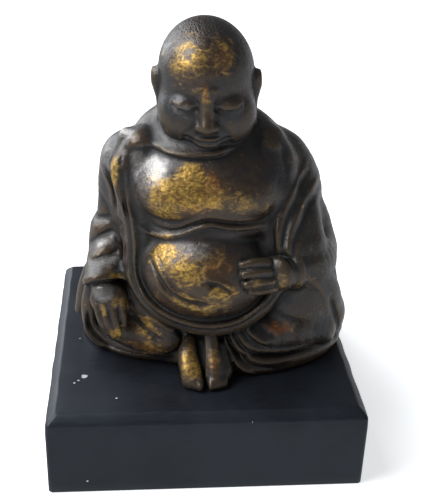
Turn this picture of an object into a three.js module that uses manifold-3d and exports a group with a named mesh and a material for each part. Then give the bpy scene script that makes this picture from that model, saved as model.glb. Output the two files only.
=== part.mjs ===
// A seated budai figure, cast in one piece, on a square plinth with a bevelled top edge.
// Millimetres, +Z up. The origin is the middle of the plinth's underside and the figure faces -Y.
import * as THREE from 'three';
import { mergeVertices } from 'three/addons/utils/BufferGeometryUtils.js';
import Module from 'manifold-3d';

// the plinth
const plinthWidth = 120;
const plinthDepth = 120;
const plinthHeight = 34;
const bevelInset = 3.4;
const bevelDrop = 3.0;
const cornerRadius = 1.6;
const footSoftening = 0.5;
const cornerSteps = 4;

// the figure and how it stands on the plinth
const figureHeight = 130;
const figureTurn = THREE.MathUtils.degToRad(-4);
const figureShift = 4.2;
const figureLean = 0.04;
const seatGap = 0.3;

// how finely the figure is sampled, in hundredths of its height, and how many triangles it keeps
const sampleStep = 0.8;
const finestStroke = 1.1;
const finestLine = 0.75;
const keptTriangles = 9300;
const edgeWeight = 1e-4;
const fineCare = 8;
const nearestCrossing = 0.03;
const fairingRounds = 4;
const fairingPull = 0.5;
const fairingPush = -0.53;
const sharpestFold = 0.3;
const leastFace = 1e-4;

// The figure is modelled like clay. A form is a function of a place that gives the distance to its skin,
// below zero inside. Places and sizes are hundredths of the figure's height: x to the viewer's right,
// y away from the viewer and z up from the seat.
const unit = figureHeight / 100;
const farAway = 7;
const belowSeat = 2.5;

function length3(x, y, z) {
  return Math.sqrt(x * x + y * y + z * z);
}

// an egg around a place, with three radii, and turned by degrees about x, y and z when asked
function egg(at, radii, turn = [0, 0, 0]) {
  const angles = turn.map(THREE.MathUtils.degToRad);
  const e = new THREE.Matrix4().makeRotationFromEuler(new THREE.Euler(...angles, 'ZYX')).elements;
  const [a, b, c] = radii;
  return (x, y, z) => {
    const dx = x - at[0];
    const dy = y - at[1];
    const dz = z - at[2];
    const u = (e[0] * dx + e[1] * dy + e[2] * dz) / a;
    const v = (e[4] * dx + e[5] * dy + e[6] * dz) / b;
    const w = (e[8] * dx + e[9] * dy + e[10] * dz) / c;
    const far = length3(u, v, w);
    return far * (far - 1) / Math.max(length3(u / a, v / b, w / c), 1e-6);
  };
}

// points of a smooth curve through the given points, open or closed
function smoothPath(points, steps, closed = false) {
  if (points.length === 2) return points;
  const count = points.length;
  const path = [];
  const pick = (k) => {
    if (closed) return points[(k + count) % count];
    if (k < 0) return points[0].map((v, i) => 2 * v - points[1][i]);
    if (k >= count) return points[count - 1].map((v, i) => 2 * v - points[count - 2][i]);
    return points[k];
  };
  for (let k = 0; k < (closed ? count : count - 1); k++) {
    const [a, b, c, d] = [pick(k - 1), pick(k), pick(k + 1), pick(k + 2)];
    for (let s = 0; s < steps; s++) {
      const t = s / steps;
      path.push(b.map((v, i) => 0.5 * (2 * v + (c[i] - a[i]) * t
        + (2 * a[i] - 5 * v + 4 * c[i] - d[i]) * t ** 2 + (3 * v - a[i] - 3 * c[i] + d[i]) * t ** 3)));
    }
  }
  if (!closed) path.push(points[count - 1]);
  return path;
}

// the nearest place on a path, as the squared distance to it, the segment and how far along that it is
function nearest(path, place) {
  let best = Infinity;
  let segment = 0;
  let along = 0;
  const size = place.length;
  for (let k = 0; k + 1 < path.length; k++) {
    const a = path[k];
    const b = path[k + 1];
    let dot = 0;
    let length = 0;
    for (let i = 0; i < size; i++) {
      dot += (place[i] - a[i]) * (b[i] - a[i]);
      length += (b[i] - a[i]) ** 2;
    }
    const t = Math.min(1, Math.max(0, dot / length));
    let distance = 0;
    for (let i = 0; i < size; i++) distance += (place[i] - a[i] - t * (b[i] - a[i])) ** 2;
    if (distance < best) {
      best = distance;
      segment = k;
      along = t;
    }
  }
  return [best, segment, along];
}

// the middle of a path's box and how far its corners are from it
function extent(path) {
  const low = [0, 1, 2].map((i) => Math.min(...path.map((point) => point[i] ?? 0)));
  const high = [0, 1, 2].map((i) => Math.max(...path.map((point) => point[i] ?? 0)));
  return [low.map((v, i) => (v + high[i]) / 2), length3(...low.map((v, i) => (high[i] - v) / 2))];
}

// a limb along points of x, y, z and radius, known only roughly from far away
function tube(points, steps = 4) {
  const path = smoothPath(points, steps);
  const [middle, half] = extent(path);
  const around = half + Math.max(...path.map((point) => point[3]));
  return (x, y, z) => {
    const away = length3(x - middle[0], y - middle[1], z - middle[2]) - around;
    if (away > farAway) return away;
    let best = Infinity;
    for (let k = 0; k + 1 < path.length; k++) {
      const a = path[k];
      const b = path[k + 1];
      const ux = b[0] - a[0];
      const uy = b[1] - a[1];
      const uz = b[2] - a[2];
      const dot = (x - a[0]) * ux + (y - a[1]) * uy + (z - a[2]) * uz;
      const t = Math.min(1, Math.max(0, dot / (ux * ux + uy * uy + uz * uz)));
      const distance = length3(x - a[0] - t * ux, y - a[1] - t * uy, z - a[2] - t * uz);
      best = Math.min(best, distance - a[3] - t * (b[3] - a[3]));
    }
    return best;
  };
}

// 1 on a line in space, fading to 0 over its width
function line(points, drawnWidth) {
  const width = Math.max(drawnWidth, finestLine);
  const path = smoothPath(points, 4);
  const [middle, half] = extent(path);
  return (x, y, z) => {
    if (length3(x - middle[0], y - middle[1], z - middle[2]) > half + 3 * width) return 0;
    return Math.exp(-nearest(path, [x, y, z])[0] / width ** 2);
  };
}

// the same for a line of x and z drawn on the front or the back, which also dies out at its ends
function stroke(points, drawnWidth) {
  const width = Math.max(drawnWidth, finestStroke);
  const path = smoothPath(points, 4);
  const [middle, half] = extent(path);
  return (x, z) => {
    if (length3(x - middle[0], z - middle[1], 0) > half + 3 * width) return 0;
    const [distance, segment, along] = nearest(path, [x, z]);
    const where = (segment + along) / (path.length - 1);
    const ends = Math.min(1, 5 * Math.min(where, 1 - where)) ** 0.7;
    return ends * Math.exp(-distance / width ** 2);
  };
}

function join(a, b, soft) {
  const h = Math.max(soft - Math.abs(a - b), 0) / soft;
  return Math.min(a, b) - h * h * soft / 4;
}

function cut(a, b, soft) {
  return -join(-a, b, soft);
}

function ramp(value, low, high) {
  const t = Math.min(1, Math.max(0, (value - low) / (high - low)));
  return t * t * (3 - 2 * t);
}

function bell(value, at, width) {
  return Math.exp(-(((value - at) / width) ** 2));
}

// several forms as one, joined softly in turn
function together(forms, soft) {
  return (x, y, z) => forms.reduce((d, form) => join(d, form(x, y, z), soft), 99);
}

// the head, mirrored about its own middle, a little bowed
const headAt = [0.3, -5.0, 83.8];
const bow = THREE.MathUtils.degToRad(9);
const skull = egg([0, 1.2, 3.4], [13.4, 15.2, 14.6]);
const jaw = egg([0, -2.4, -7], [13, 12.6, 11.2]);
const cheek = egg([7.2, -8, -6], [5.8, 5.8, 6]);
const chin = egg([0, -12.6, -14.6], [4.6, 3.4, 3]);
const socket = egg([5.7, -16.4, 0.2], [4.2, 3, 2.1]);
const eyelid = egg([5.7, -12.2, -0.5], [3.5, 2.5, 1.9]);
const noseBridge = tube([[0, -13.6, 3, 1.1], [0, -15.4, -1.8, 1.4], [0, -16.8, -5.2, 1.8]]);
const nostril = egg([2.2, -15.2, -5.6], [1.5, 1.8, 1.25]);
const upperLip = tube([[0, -15.1, -9.6, 0.95], [2.3, -14.9, -9.5, 0.85], [4.8, -13.6, -8.9, 0.4]]);
const lowerLip = tube([[0, -14.9, -11.1, 1], [2.2, -14.6, -11, 0.9], [4.2, -13.5, -10.1, 0.4]]);
const lipLine = line([[0, -16, -10.3], [2.4, -15.6, -10.25], [5.6, -13.6, -9.3]], 0.5);
const eyeLine = line([[2.6, -14, -0.9], [5.6, -14.6, -1.4], [8.9, -12.8, -0.5]], 0.5);
const brow = line([[2.6, -14.6, 4.4], [6.2, -14.4, 5.6], [10.6, -11.4, 4]], 1.3);
const cheekLine = line([[3.4, -15, -5.4], [5.9, -13.6, -8.2], [6.3, -12.4, -11.2]], 0.9);
const earShell = egg([13.2, 0.2, 0.6], [2.3, 3.2, 4.3], [12, 0, 10]);
const earLobe = tube([[13, -1.2, -2.6, 1.4], [12.7, -2.2, -7.5, 1.4], [12.6, -2.8, -12, 1.6]]);
const earRim = line([
  [14.6, -2.2, 0.6], [14.9, -1.2, 3], [14.9, 0.6, 4], [14.9, 2.4, 2.6], [14.8, 2.8, -0.6], [14.3, 1.2, -3.8],
], 0.6);
const earHollow = line([[15.3, 0.2, 2], [15.3, 0.8, 0], [15.1, 0, -2.4]], 0.9);

function head(px, py, pz) {
  const dy = py - headAt[1];
  const dz = pz - headAt[2];
  const x = Math.abs(px - headAt[0]);
  const y = Math.cos(bow) * dy + Math.sin(bow) * dz;
  const z = Math.cos(bow) * dz - Math.sin(bow) * dy;
  let d = join(skull(x, y, z), jaw(x, y, z), 5);
  d = join(d, cheek(x, y, z), 4);
  d = join(d, chin(x, y, z), 3);
  d = cut(d, socket(x, y, z), 2.2);
  d = join(d, eyelid(x, y, z), 0.5);
  d = join(d, noseBridge(x, y, z), 1.6);
  d = join(d, nostril(x, y, z), 0.8);
  d = join(d, upperLip(x, y, z), 0.8);
  d = join(d, lowerLip(x, y, z), 0.8);
  d += 0.5 * lipLine(x, y, z) + 0.5 * eyeLine(x, y, z) - 0.45 * brow(x, y, z) + 0.35 * cheekLine(x, y, z);
  const ear = join(earShell(x, y, z), earLobe(x, y, z), 1.6);
  return join(d, ear - 0.5 * earRim(x, y, z) + 0.8 * earHollow(x, y, z), 0.7);
}

// the bare chest and belly, with the folds drawn across them
const trunk = egg([0, 0, 46], [28.5, 18.2, 31]);
const belly = egg([-0.6, -13, 30.7], [20.8, 19.4, 16.7]);
const breast = egg([7, -11.2, 54.4], [14.8, 13.2, 10.2], [0, -5, 0]);
const breastbone = egg([0, -12, 55], [9, 12.2, 8.4]);
const collarbones = egg([0, -5.5, 60], [20, 15, 12]);
const neck = tube([[0, 0, 60, 13], [0, -3, 76, 10]]);
const chestEdge = tube([
  [-18.4, -13.4, 46.8, 2.5], [-9.5, -19, 47.4, 2.3], [-3, -20, 49.4, 2.1],
  [1, -20, 50.6, 2], [8, -19.4, 49.6, 2.2], [17.4, -13.2, 49.2, 2.5],
]);
const underBelly = tube([
  [-20.4, -10.6, 32, 2.8], [-19, -15, 27.6, 3], [-16.2, -18.6, 24, 3.1],
  [-12, -21.2, 21.2, 3.1], [-6, -23.2, 19.3, 3], [0, -23.8, 18.6, 3],
  [6, -23.2, 19.2, 3], [12, -21, 22, 3], [16.6, -17.4, 26, 3],
]);
const besideBelly = together([
  tube([
    [-17.4, -9.4, 66.4, 3.2], [-19.4, -11.4, 60, 2.8], [-19.2, -13, 54, 3],
    [-17.8, -14.8, 46, 3.6], [-18, -15.8, 38, 3.2], [-18.2, -16.4, 31, 3],
  ]),
  tube([
    [17.4, -9.4, 66, 3.2], [18.6, -11.8, 60, 2.8], [18.4, -14, 51, 3],
    [18, -15.6, 44, 3.6], [18.6, -18, 36, 3.2], [18, -18, 29, 3],
  ]),
  tube([
    [-16, -15.6, 44.6, 3.4], [-8, -19.6, 44.8, 3.2], [0, -20.8, 45.8, 3],
    [8, -19.8, 46, 3.2], [16, -15.8, 46, 3.4],
  ]),
], 1.5);
const navelAt = [1.4, 33.6];
const navelDepth = 1;
const bodyStrokes = [
  [
    stroke([
      [-20.2, 46.6], [-16.2, 43.8], [-10.2, 44.6], [-2.8, 47.5], [1, 48.6], [8, 47.6], [17.6, 47],
    ], 0.8),
    0.7,
  ],
  [stroke([[-18.4, 46.8], [-10.2, 45.9], [-2.8, 48.9], [1, 50], [8, 49], [16.6, 48.4]], 0.7), -0.5],
  [stroke([[-15.6, 39], [-13.4, 36], [-11.2, 32.9], [-9.3, 31.3], [-5.1, 29.9], [-1, 29.3]], 0.8), 0.6],
  [stroke([[-16.6, 38], [-12.6, 32.2], [-9.8, 30], [-5, 28.5], [0.6, 28]], 0.9), -0.8],
  [stroke([[-16.5, 33.8], [-11, 28.6], [-4, 26.2], [3, 25.4]], 1.2), 0.45],
  [stroke([[-1.4, 35.8], [2.2, 35.3], [5.4, 33.8], [8.6, 30.8]], 0.8), 0.45],
];

// how much a list of strokes and their heights raises the skin
function raised(strokes, x, z) {
  return strokes.reduce((sum, [drawn, height]) => sum + height * drawn(x, z), 0);
}

function bareBody(x, y, z) {
  const side = Math.abs(x);
  let chest = join(join(breast(side, y, z), breastbone(x, y, z), 4), collarbones(x, y, z), 6);
  chest = join(chest, neck(x, y, z), 4);
  const inside = trunk(x, y, z);
  chest = join(chest, chestEdge(x, y, z), 2);
  let d = join(join(chest, inside, 4), join(belly(x, y, z), inside, 3), 0.9);
  d = join(join(d, underBelly(x, y, z), 1.6), besideBelly(x, y, z), 2.4);
  const front = ramp(-y, 8, 14);
  if (front > 0 && d < 3) {
    d -= front * raised(bodyStrokes, x, z);
    d += front * navelDepth * bell(x, navelAt[0], 1.6) * bell(z, navelAt[1], 1.1);
  }
  return d;
}

// the arms in their sleeves, each cut square at the cuff
const kneeArm = tube([
  [-22.4, 2, 57, 9], [-24.2, 3, 50.5, 8.7], [-25.2, 2.5, 45, 8], [-26, 2, 41, 7.7],
  [-26.6, 1.8, 38, 7.3], [-27.8, 1.4, 33.8, 8.6], [-28.4, 0.8, 30, 8], [-28.6, 0, 27.5, 7.8],
], 3);
const kneeSleeve = tube([
  [-28.6, 0, 29, 8], [-29, -5, 28.2, 7.2], [-29.4, -8.5, 27.2, 7.5],
  [-29.8, -12, 26, 6.6], [-30.2, -14.4, 25.2, 6.6], [-30.8, -20, 23.4, 6.4],
], 3);
const kneeCuff = { at: [-31, -16.2, 24.6], along: [-1.4, -12, -5] };
const bellyArm = tube([
  [21.5, 2, 58.5, 8.8], [24.6, 2, 52, 9.6], [26.6, 1.5, 45, 8.6], [28.8, 1, 38, 9.2], [30.4, 0, 31, 9],
], 3);
const bellySleeve = tube([
  [30.4, -2, 31, 9], [30, -9, 31.5, 8.8], [28, -15, 32.6, 7.8], [24.5, -19, 33.6, 6.8], [20, -24, 34.4, 6],
], 3);
const bellyCuff = { at: [22.2, -21, 34], along: [-9, -7, 1] };

// how far a place is past a flat cut
function past(plane, x, y, z) {
  const [u, v, w] = plane.along;
  return ((x - plane.at[0]) * u + (y - plane.at[1]) * v + (z - plane.at[2]) * w) / Math.hypot(u, v, w);
}

function arms(x, y, z) {
  const toKnee = join(kneeArm(x, y, z), cut(kneeSleeve(x, y, z), -past(kneeCuff, x, y, z), 1.2), 2);
  const toBelly = join(bellyArm(x, y, z), cut(bellySleeve(x, y, z), -past(bellyCuff, x, y, z), 1.2), 2.5);
  return Math.min(toKnee, toBelly);
}

// the robe, open down the front, and the folded edges that frame the opening
const robeBack = egg([0, 5, 40], [27, 18.5, 32]);
const shoulder = egg([17.4, 2, 56.8], [13.4, 11, 10.5]);
const collar = tube([
  [-16.6, -5, 67.3, 2.4], [-13.2, 2, 69.4, 3.1], [0, 8.5, 72, 4],
  [13.2, 2, 69.8, 3.1], [16.6, -6, 68.8, 2.4],
]);
const seat = egg([0, 6, 10], [36, 19.5, 20]);
const robeThickness = 1.7;
const opening = smoothPath([
  [0, 67.4], [-6, 67], [-12, 67.2], [-18, 67.8], [-21.6, 66.4], [-22.2, 60], [-21.8, 53], [-20.4, 47],
  [-20, 40], [-20.2, 33], [-18.8, 28.3], [-15.6, 24.6], [-10.7, 22], [-4, 20.5], [2, 20.3], [8.6, 21.6],
  [14, 25], [18.2, 29.5], [20.2, 36], [19.6, 42], [18.9, 48], [19.3, 55], [20.6, 61], [18.4, 67],
  [12, 68.4], [6, 67.8],
], 4, true);
opening.push(opening[0]);
const lapel = tube([
  [-22.8, -5.5, 67.6, 2.2], [-24.2, -8.4, 59, 2.6], [-23.6, -11.6, 49, 2.6], [-22.9, -14.2, 38, 2.6],
  [-22.2, -17, 30.6, 2.4], [-19.2, -20.8, 25.6, 2.2], [-14, -24, 21.4, 2], [-7, -26.2, 18.9, 1.8],
  [0, -27, 17.9, 1.8], [7.2, -26.2, 18.8, 1.8], [14, -24, 21.8, 2], [19.4, -20.6, 27, 2.2],
  [22, -17, 34, 2.4], [21.6, -14, 43, 2.6], [21.4, -11.5, 53, 2.6], [22.4, -8, 62, 2.4], [19.4, -5, 68, 2.2],
]);
const lapelRidges = [[0.9, 0.85, 0.6], [2.3, 0.8, -0.5], [3.6, 0.9, 0.35]];

// the turned-out flap beside the opening, with a crisp outer edge
const flap = smoothPath([
  [-22.2, 68.6], [-25, 64.6], [-27.6, 59.8], [-26.8, 56], [-25.2, 52], [-23.4, 47], [-23.4, 54], [-23.2, 60],
], 2, true);
flap.push(flap[0]);
const flapRise = 1.9;

// distance to a closed outline seen from the front, below zero inside it
function fromOutline(outline, x, z) {
  let inside = false;
  for (let k = 0; k + 1 < outline.length; k++) {
    const [ax, az] = outline[k];
    const [bx, bz] = outline[k + 1];
    if ((az > z) !== (bz > z) && x - ax < (z - az) * (bx - ax) / (bz - az)) inside = !inside;
  }
  const distance = Math.sqrt(nearest(outline, [x, z])[0]);
  return inside ? -distance : distance;
}

function robe(x, y, z, bare) {
  const side = Math.abs(x);
  let d = join(robeBack(x, y, z), shoulder(side, y, z), 6);
  d = join(d, bare - robeThickness, 2);
  d = join(d, collar(x, y, z), 5);
  d = join(d, lapel(x, y, z), 4);
  d = join(d, seat(x, y, z), 6);
  d = join(d, arms(x, y, z), 2.5);
  const away = fromOutline(opening, x, z);
  d = cut(d, Math.max(away, y + 3), 1.2);
  const front = ramp(-y, 2, 8);
  if (front > 0) {
    const plain = (1 - 0.8 * ramp(x, 8, 15) * ramp(z, 24, 32)) * (1 - 0.8 * ramp(z, 47, 52));
    for (const [at, width, height] of lapelRidges) d -= front * plain * height * bell(away, at, width);
    d -= front * flapRise * ramp(-fromOutline(flap, x, z), -0.6, 0.7);
  }
  return d;
}

// crossed legs under the robe, the hanging sleeves and the hem that spreads on the plinth
const kneeUnderHand = together([
  tube([[-22, 3, 9, 11.5], [-30, -4, 8.5, 10]]),
  tube([[-30, -8, 8.2, 8.6], [-22, -13.5, 8.2, 8], [-13.6, -17.5, 8, 6.4]]),
  tube([[-24.5, -13.6, 21.5, 4], [-18.5, -16, 17.5, 4.4], [-12.5, -18, 12.6, 4]]),
], 2.4);
const legEnd = egg([-11.8, -19.8, 8.4], [2.6, 2.6, 3.8]);
const otherKnee = together([
  tube([[24, 3, 10, 12.5], [31.6, -4, 10, 11]]),
  tube([[30.6, -9, 10.4, 9.6], [21, -16, 10.6, 8.2], [11, -20.5, 11, 6]]),
  egg([25, -15.6, 20.4], [8.4, 7.6, 9.6], [0, -26, 0]),
], 3);
const lap = egg([0, -8, 7], [24, 15.5, 8.5]);
const hangingSleeves = together([
  tube([[-35, -8, 25, 3], [-37.4, -7, 18, 3], [-40.2, -6, 10, 1.8]]),
  tube([[-34.4, -13, 22, 3], [-35.8, -13, 15, 3], [-35.4, -12, 8, 3], [-33, -12, 3, 3]]),
  tube([[34.8, -3, 26, 4.6], [37, -3, 16, 4.2], [39.4, -2, 7, 3.4], [40, -1, 3, 3]]),
], 1.2);
const wideSleeve = together([
  tube([[29, -16, 30, 7], [32.2, -13, 23, 7.4], [34, -10, 15, 7.6]]),
  tube([[22.5, -11.4, 53, 3], [23.4, -14.6, 46, 4], [24, -17.6, 39.6, 4.6]]),
], 3);
const hem = together([
  tube([
    [-37, -4, 1.4, 3.2], [-33, -10, 1.4, 3], [-24, -15.4, 1.6, 2.8],
    [-14, -18.2, 2.4, 2.8], [-8, -21, 3, 2.6],
  ]),
  tube([
    [5, -22, 4, 4], [13, -22.4, 3, 4.2], [22, -19.6, 2.6, 4.2],
    [31, -14, 2.4, 4.2], [37.2, -6, 2, 3.8], [39.4, 0, 1.8, 3.2],
  ]),
], 1);

function legs(x, y, z) {
  let d = Math.min(join(kneeUnderHand(x, y, z), legEnd(x, y, z), 0.8), otherKnee(x, y, z));
  d = join(join(d, lap(x, y, z), 3), wideSleeve(x, y, z), 3.5);
  return join(d, hangingSleeves(x, y, z), 1);
}

// the folds of the cloth: lists of strokes of x and z with their width and height
const lapFolds = [
  [[[3.2, 15], [6, 8.6], [9.2, 3.6], [14.6, 0]], 1.1, 1.2],
  [[[4.4, 14.6], [7.6, 8.4], [12.2, 3.8], [21, 1.8]], 0.9, -1.1],
  [[[5.2, 15], [9.3, 8.8], [15.2, 5.2], [25, 3.9]], 1.1, 1.1],
  [[[6.6, 15.4], [10.6, 9.8], [15.6, 7], [24, 5.8], [34, 5.6]], 0.9, -1.2],
  [[[8, 14.6], [11.8, 10], [17, 8.2], [24, 7.5], [32, 7.2]], 1.1, 0.7],
  [[[8.8, 16.4], [12.6, 12], [17, 9.8]], 0.9, -0.9],
  [[[9.6, 18], [13.9, 13.4], [18, 10.8]], 1.1, 0.9],
  [[[-37.6, 15], [-37.6, 7.8], [-33.6, 2.6], [-25, 0.8]], 0.8, 0.6],
  [[[-36.4, 16], [-36.2, 8.4], [-32, 3.8], [-23, 2.4], [-15, 3.4]], 0.8, -0.8],
  [[[-35.2, 16], [-34.8, 9], [-30.6, 5], [-22, 3.8], [-14, 4.8]], 0.8, 0.6],
  [[[-23, 15.5], [-17.5, 11.6], [-13, 9.4]], 0.9, -0.6],
  [[[-21, 18.4], [-15, 15.6], [-10, 12.4]], 0.9, 0.6],
  [[[-13.4, 5], [-9.4, 6.2], [-7.8, 10], [-10, 13]], 0.8, -0.8],
];
const sleeveFolds = [
  [[[28.9, 60.6], [25, 57.8], [21.4, 52.4], [20.2, 47], [20.4, 40]], 1, 1],
  [[[30.4, 58.6], [26.4, 55], [23, 49.6], [21.6, 43.6], [21.6, 37]], 0.9, -0.9],
  [[[32.5, 56.4], [29.2, 53], [24.7, 47.6], [22.2, 41.6], [21.8, 36]], 1, 1],
  [[[33.4, 54], [29, 50.4], [25.4, 45.4], [23.4, 40], [23.2, 36]], 0.9, -0.9],
  [[[33.6, 52], [28.8, 48.2], [26, 42.6], [24.8, 36.6]], 1, 0.9],
  [[[34.6, 48], [30.6, 44], [28, 39.6], [27.8, 36.4]], 1.1, -0.6],
  [[[-31.5, 58], [-28.6, 51.5], [-28, 45]], 0.9, 0.6],
  [[[-29.6, 57], [-27, 51], [-26.6, 45]], 0.8, -0.6],
  [[[-33.5, 50], [-30, 43.5], [-29.6, 39]], 0.8, -0.5],
  [[[-35, 36], [-31, 34.4], [-27, 36]], 1, 0.5],
  [[[-35.5, 31.6], [-31, 30.6], [-27, 32.4]], 0.8, -0.7],
  [[[25, 35], [30, 30.5], [34, 24], [36, 17]], 1.1, 0.8],
  [[[27.6, 36], [33, 30.6], [37, 24]], 1, -0.7],
  [[[24.4, 34.6], [27.6, 30], [29.4, 24.8]], 0.9, 0.7],
  [[[36, 25], [37, 20.4], [38.6, 14.6], [39.6, 8.6], [39.6, 2]], 0.9, -1.2],
];
const backFolds = [
  [[[-22, 62], [-10, 50], [8, 36], [24, 20]], 1.3, 0.8],
  [[[-24, 55], [-14, 43], [4, 29], [20, 13]], 1.4, -0.6],
  [[[-25, 46], [-16, 34], [0, 21], [12, 8]], 1.3, 0.7],
  [[[20, 62], [16, 52], [17, 42]], 1.3, -0.6],
  [[[24, 56], [22, 46], [24, 36]], 1.3, 0.6],
  [[[-24, 34], [-18, 22], [-8, 10]], 1.3, -0.6],
  [[[-16, 68.5], [0, 67], [16, 68.5]], 1, -0.9],
];
const asStrokes = (folds) => folds.map(([points, width, height]) => [stroke(points, width), height]);
const [lapStrokes, sleeveStrokes, backStrokes] = [lapFolds, sleeveFolds, backFolds].map(asStrokes);

function folds(x, y, z) {
  let height = 0;
  const side = ramp(-y, -4, 4);
  const low = ramp(-y, 6, 12) * ramp(-z, -17, -14);
  const back = ramp(y, 2, 9);
  if (low > 0) height += low * raised(lapStrokes, x, z);
  if (side > 0) height += side * raised(sleeveStrokes, x, z);
  if (back > 0) height += back * raised(backStrokes, x, z);
  return height;
}

// hands: a palm, a wrist and the fingers as short limbs
const fingersOnKnee = [
  [[-32.8, -20.6, 19.8, 1.2], [-31.6, -22.6, 16, 1.15], [-29.8, -23.4, 12.6, 0.85]],
  [[-30.6, -21.2, 20.5, 1.25], [-29.6, -23.3, 16, 1.2], [-28, -24, 11.7, 0.9]],
  [[-28, -21.4, 21, 1.25], [-27.4, -23.3, 16.5, 1.2], [-26.4, -24, 12.2, 0.9]],
  [[-25.6, -20.8, 21.4, 1.2], [-25.1, -22.5, 17.8, 1.1], [-24.9, -22.9, 14.6, 0.85]],
  [[-25.4, -18.4, 22.6, 1.3], [-24.1, -20.6, 19.6, 1.05]],
];
const fingersOnBelly = [
  [[16.9, -25.2, 38, 1.55], [13.2, -26.9, 38.9, 1.45], [9.9, -27.6, 38.4, 1.15]],
  [[17.3, -26.3, 35.8, 1.6], [13.6, -28.2, 36.5, 1.5], [10.2, -29.1, 36.1, 1.2]],
  [[17.9, -26.8, 33.2, 1.6], [14.2, -29, 33.8, 1.5], [10.9, -30, 33.4, 1.2]],
  [[18.6, -26.4, 30.7, 1.5], [15.2, -28.6, 31, 1.35], [12.2, -29.9, 31.2, 1.1]],
];
const palmOnKnee = together([
  egg([-29.4, -18.4, 21.2], [4.6, 3.2, 4.4], [-35, 0, 0]),
  tube([[-31, -14, 24, 3.8], [-30, -17.2, 22.6, 3.8]]),
], 2);
const palmOnBelly = together([
  egg([20, -24.4, 34.2], [5, 2.8, 5.3], [0, 0, -38]),
  tube([[25, -20, 33.6, 4.6], [21.8, -22.8, 33.9, 4.2]]),
], 2);
const handOnKnee = together([palmOnKnee, ...fingersOnKnee.map((finger) => tube(finger, 3))], 0.4);
const handOnBelly = together([palmOnBelly, ...fingersOnBelly.map((finger) => tube(finger, 3))], 0.4);

// feet, soles inward, with their toes on the plinth
const toeCount = 4;
const toes = [];
for (let k = 0; k < toeCount; k++) {
  toes.push(egg([-7.1 + 1.5 * k, -31.7 - 0.65 * k, 1.7], [0.95, 2.1, 1.5], [20, 0, 0]));
  toes.push(egg([0.5 + 1.4 * k, -33.1 + 0.6 * k, 1.6], [0.9, 2.1, 1.4], [20, 0, 0]));
}
const feet = together([
  tube([[-5.6, -23, 9.4, 2.2], [-6.3, -26.6, 7, 3.1], [-5.5, -29.6, 4, 3.3], [-4.9, -31, 2.2, 3]]),
  tube([[0.6, -23.6, 14.6, 1.6], [1, -26, 9.6, 2.2], [1.6, -29.4, 4.8, 2.6], [1.8, -31, 2, 2.6]]),
  tube([[4.4, -23, 6, 2.4], [4.6, -27.6, 2.4, 2.6]]),
  ...toes,
], 0.8);

// the whole figure, which runs on a little below the seat until it is cut flat
function budai(x, y, z) {
  const bare = bareBody(x, y, z);
  let d = join(bare, robe(x, y, z, bare), 2.2);
  d = join(d, legs(x, y, z), 1.2);
  d = join(d, hem(x, y, z), 0.8);
  if (d < 4) d -= folds(x, y, z);
  for (const form of [handOnKnee, handOnBelly, feet, head]) d = join(d, form(x, y, z), 0.4);
  return Math.max(d, -belowSeat - z);
}

// the face, the hands and the feet keep more of their triangles
const finePlaces = [[[0.3, -18, 80], 13], [[-28.5, -21, 17], 8], [[15, -27, 35], 9], [[-1, -30, 4], 9]];

function careFor(x, y, z) {
  const inside = finePlaces.some(([[u, v, w], radius]) => length3(x - u, y - v, z - w) < radius);
  return inside ? fineCare : 1;
}

// the skin of a form as one closed mesh: every cube of the samples is split into six tetrahedra
const sampledFrom = [-48, -38, -4];
const sampledTo = [49, 30, 104];
const blockSteps = 4;
const blockReach = 1.3;
const waysAcross = [[0, 1, 2], [1, 2, 0], [2, 0, 1], [0, 2, 1], [2, 1, 0], [1, 0, 2]];

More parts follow.
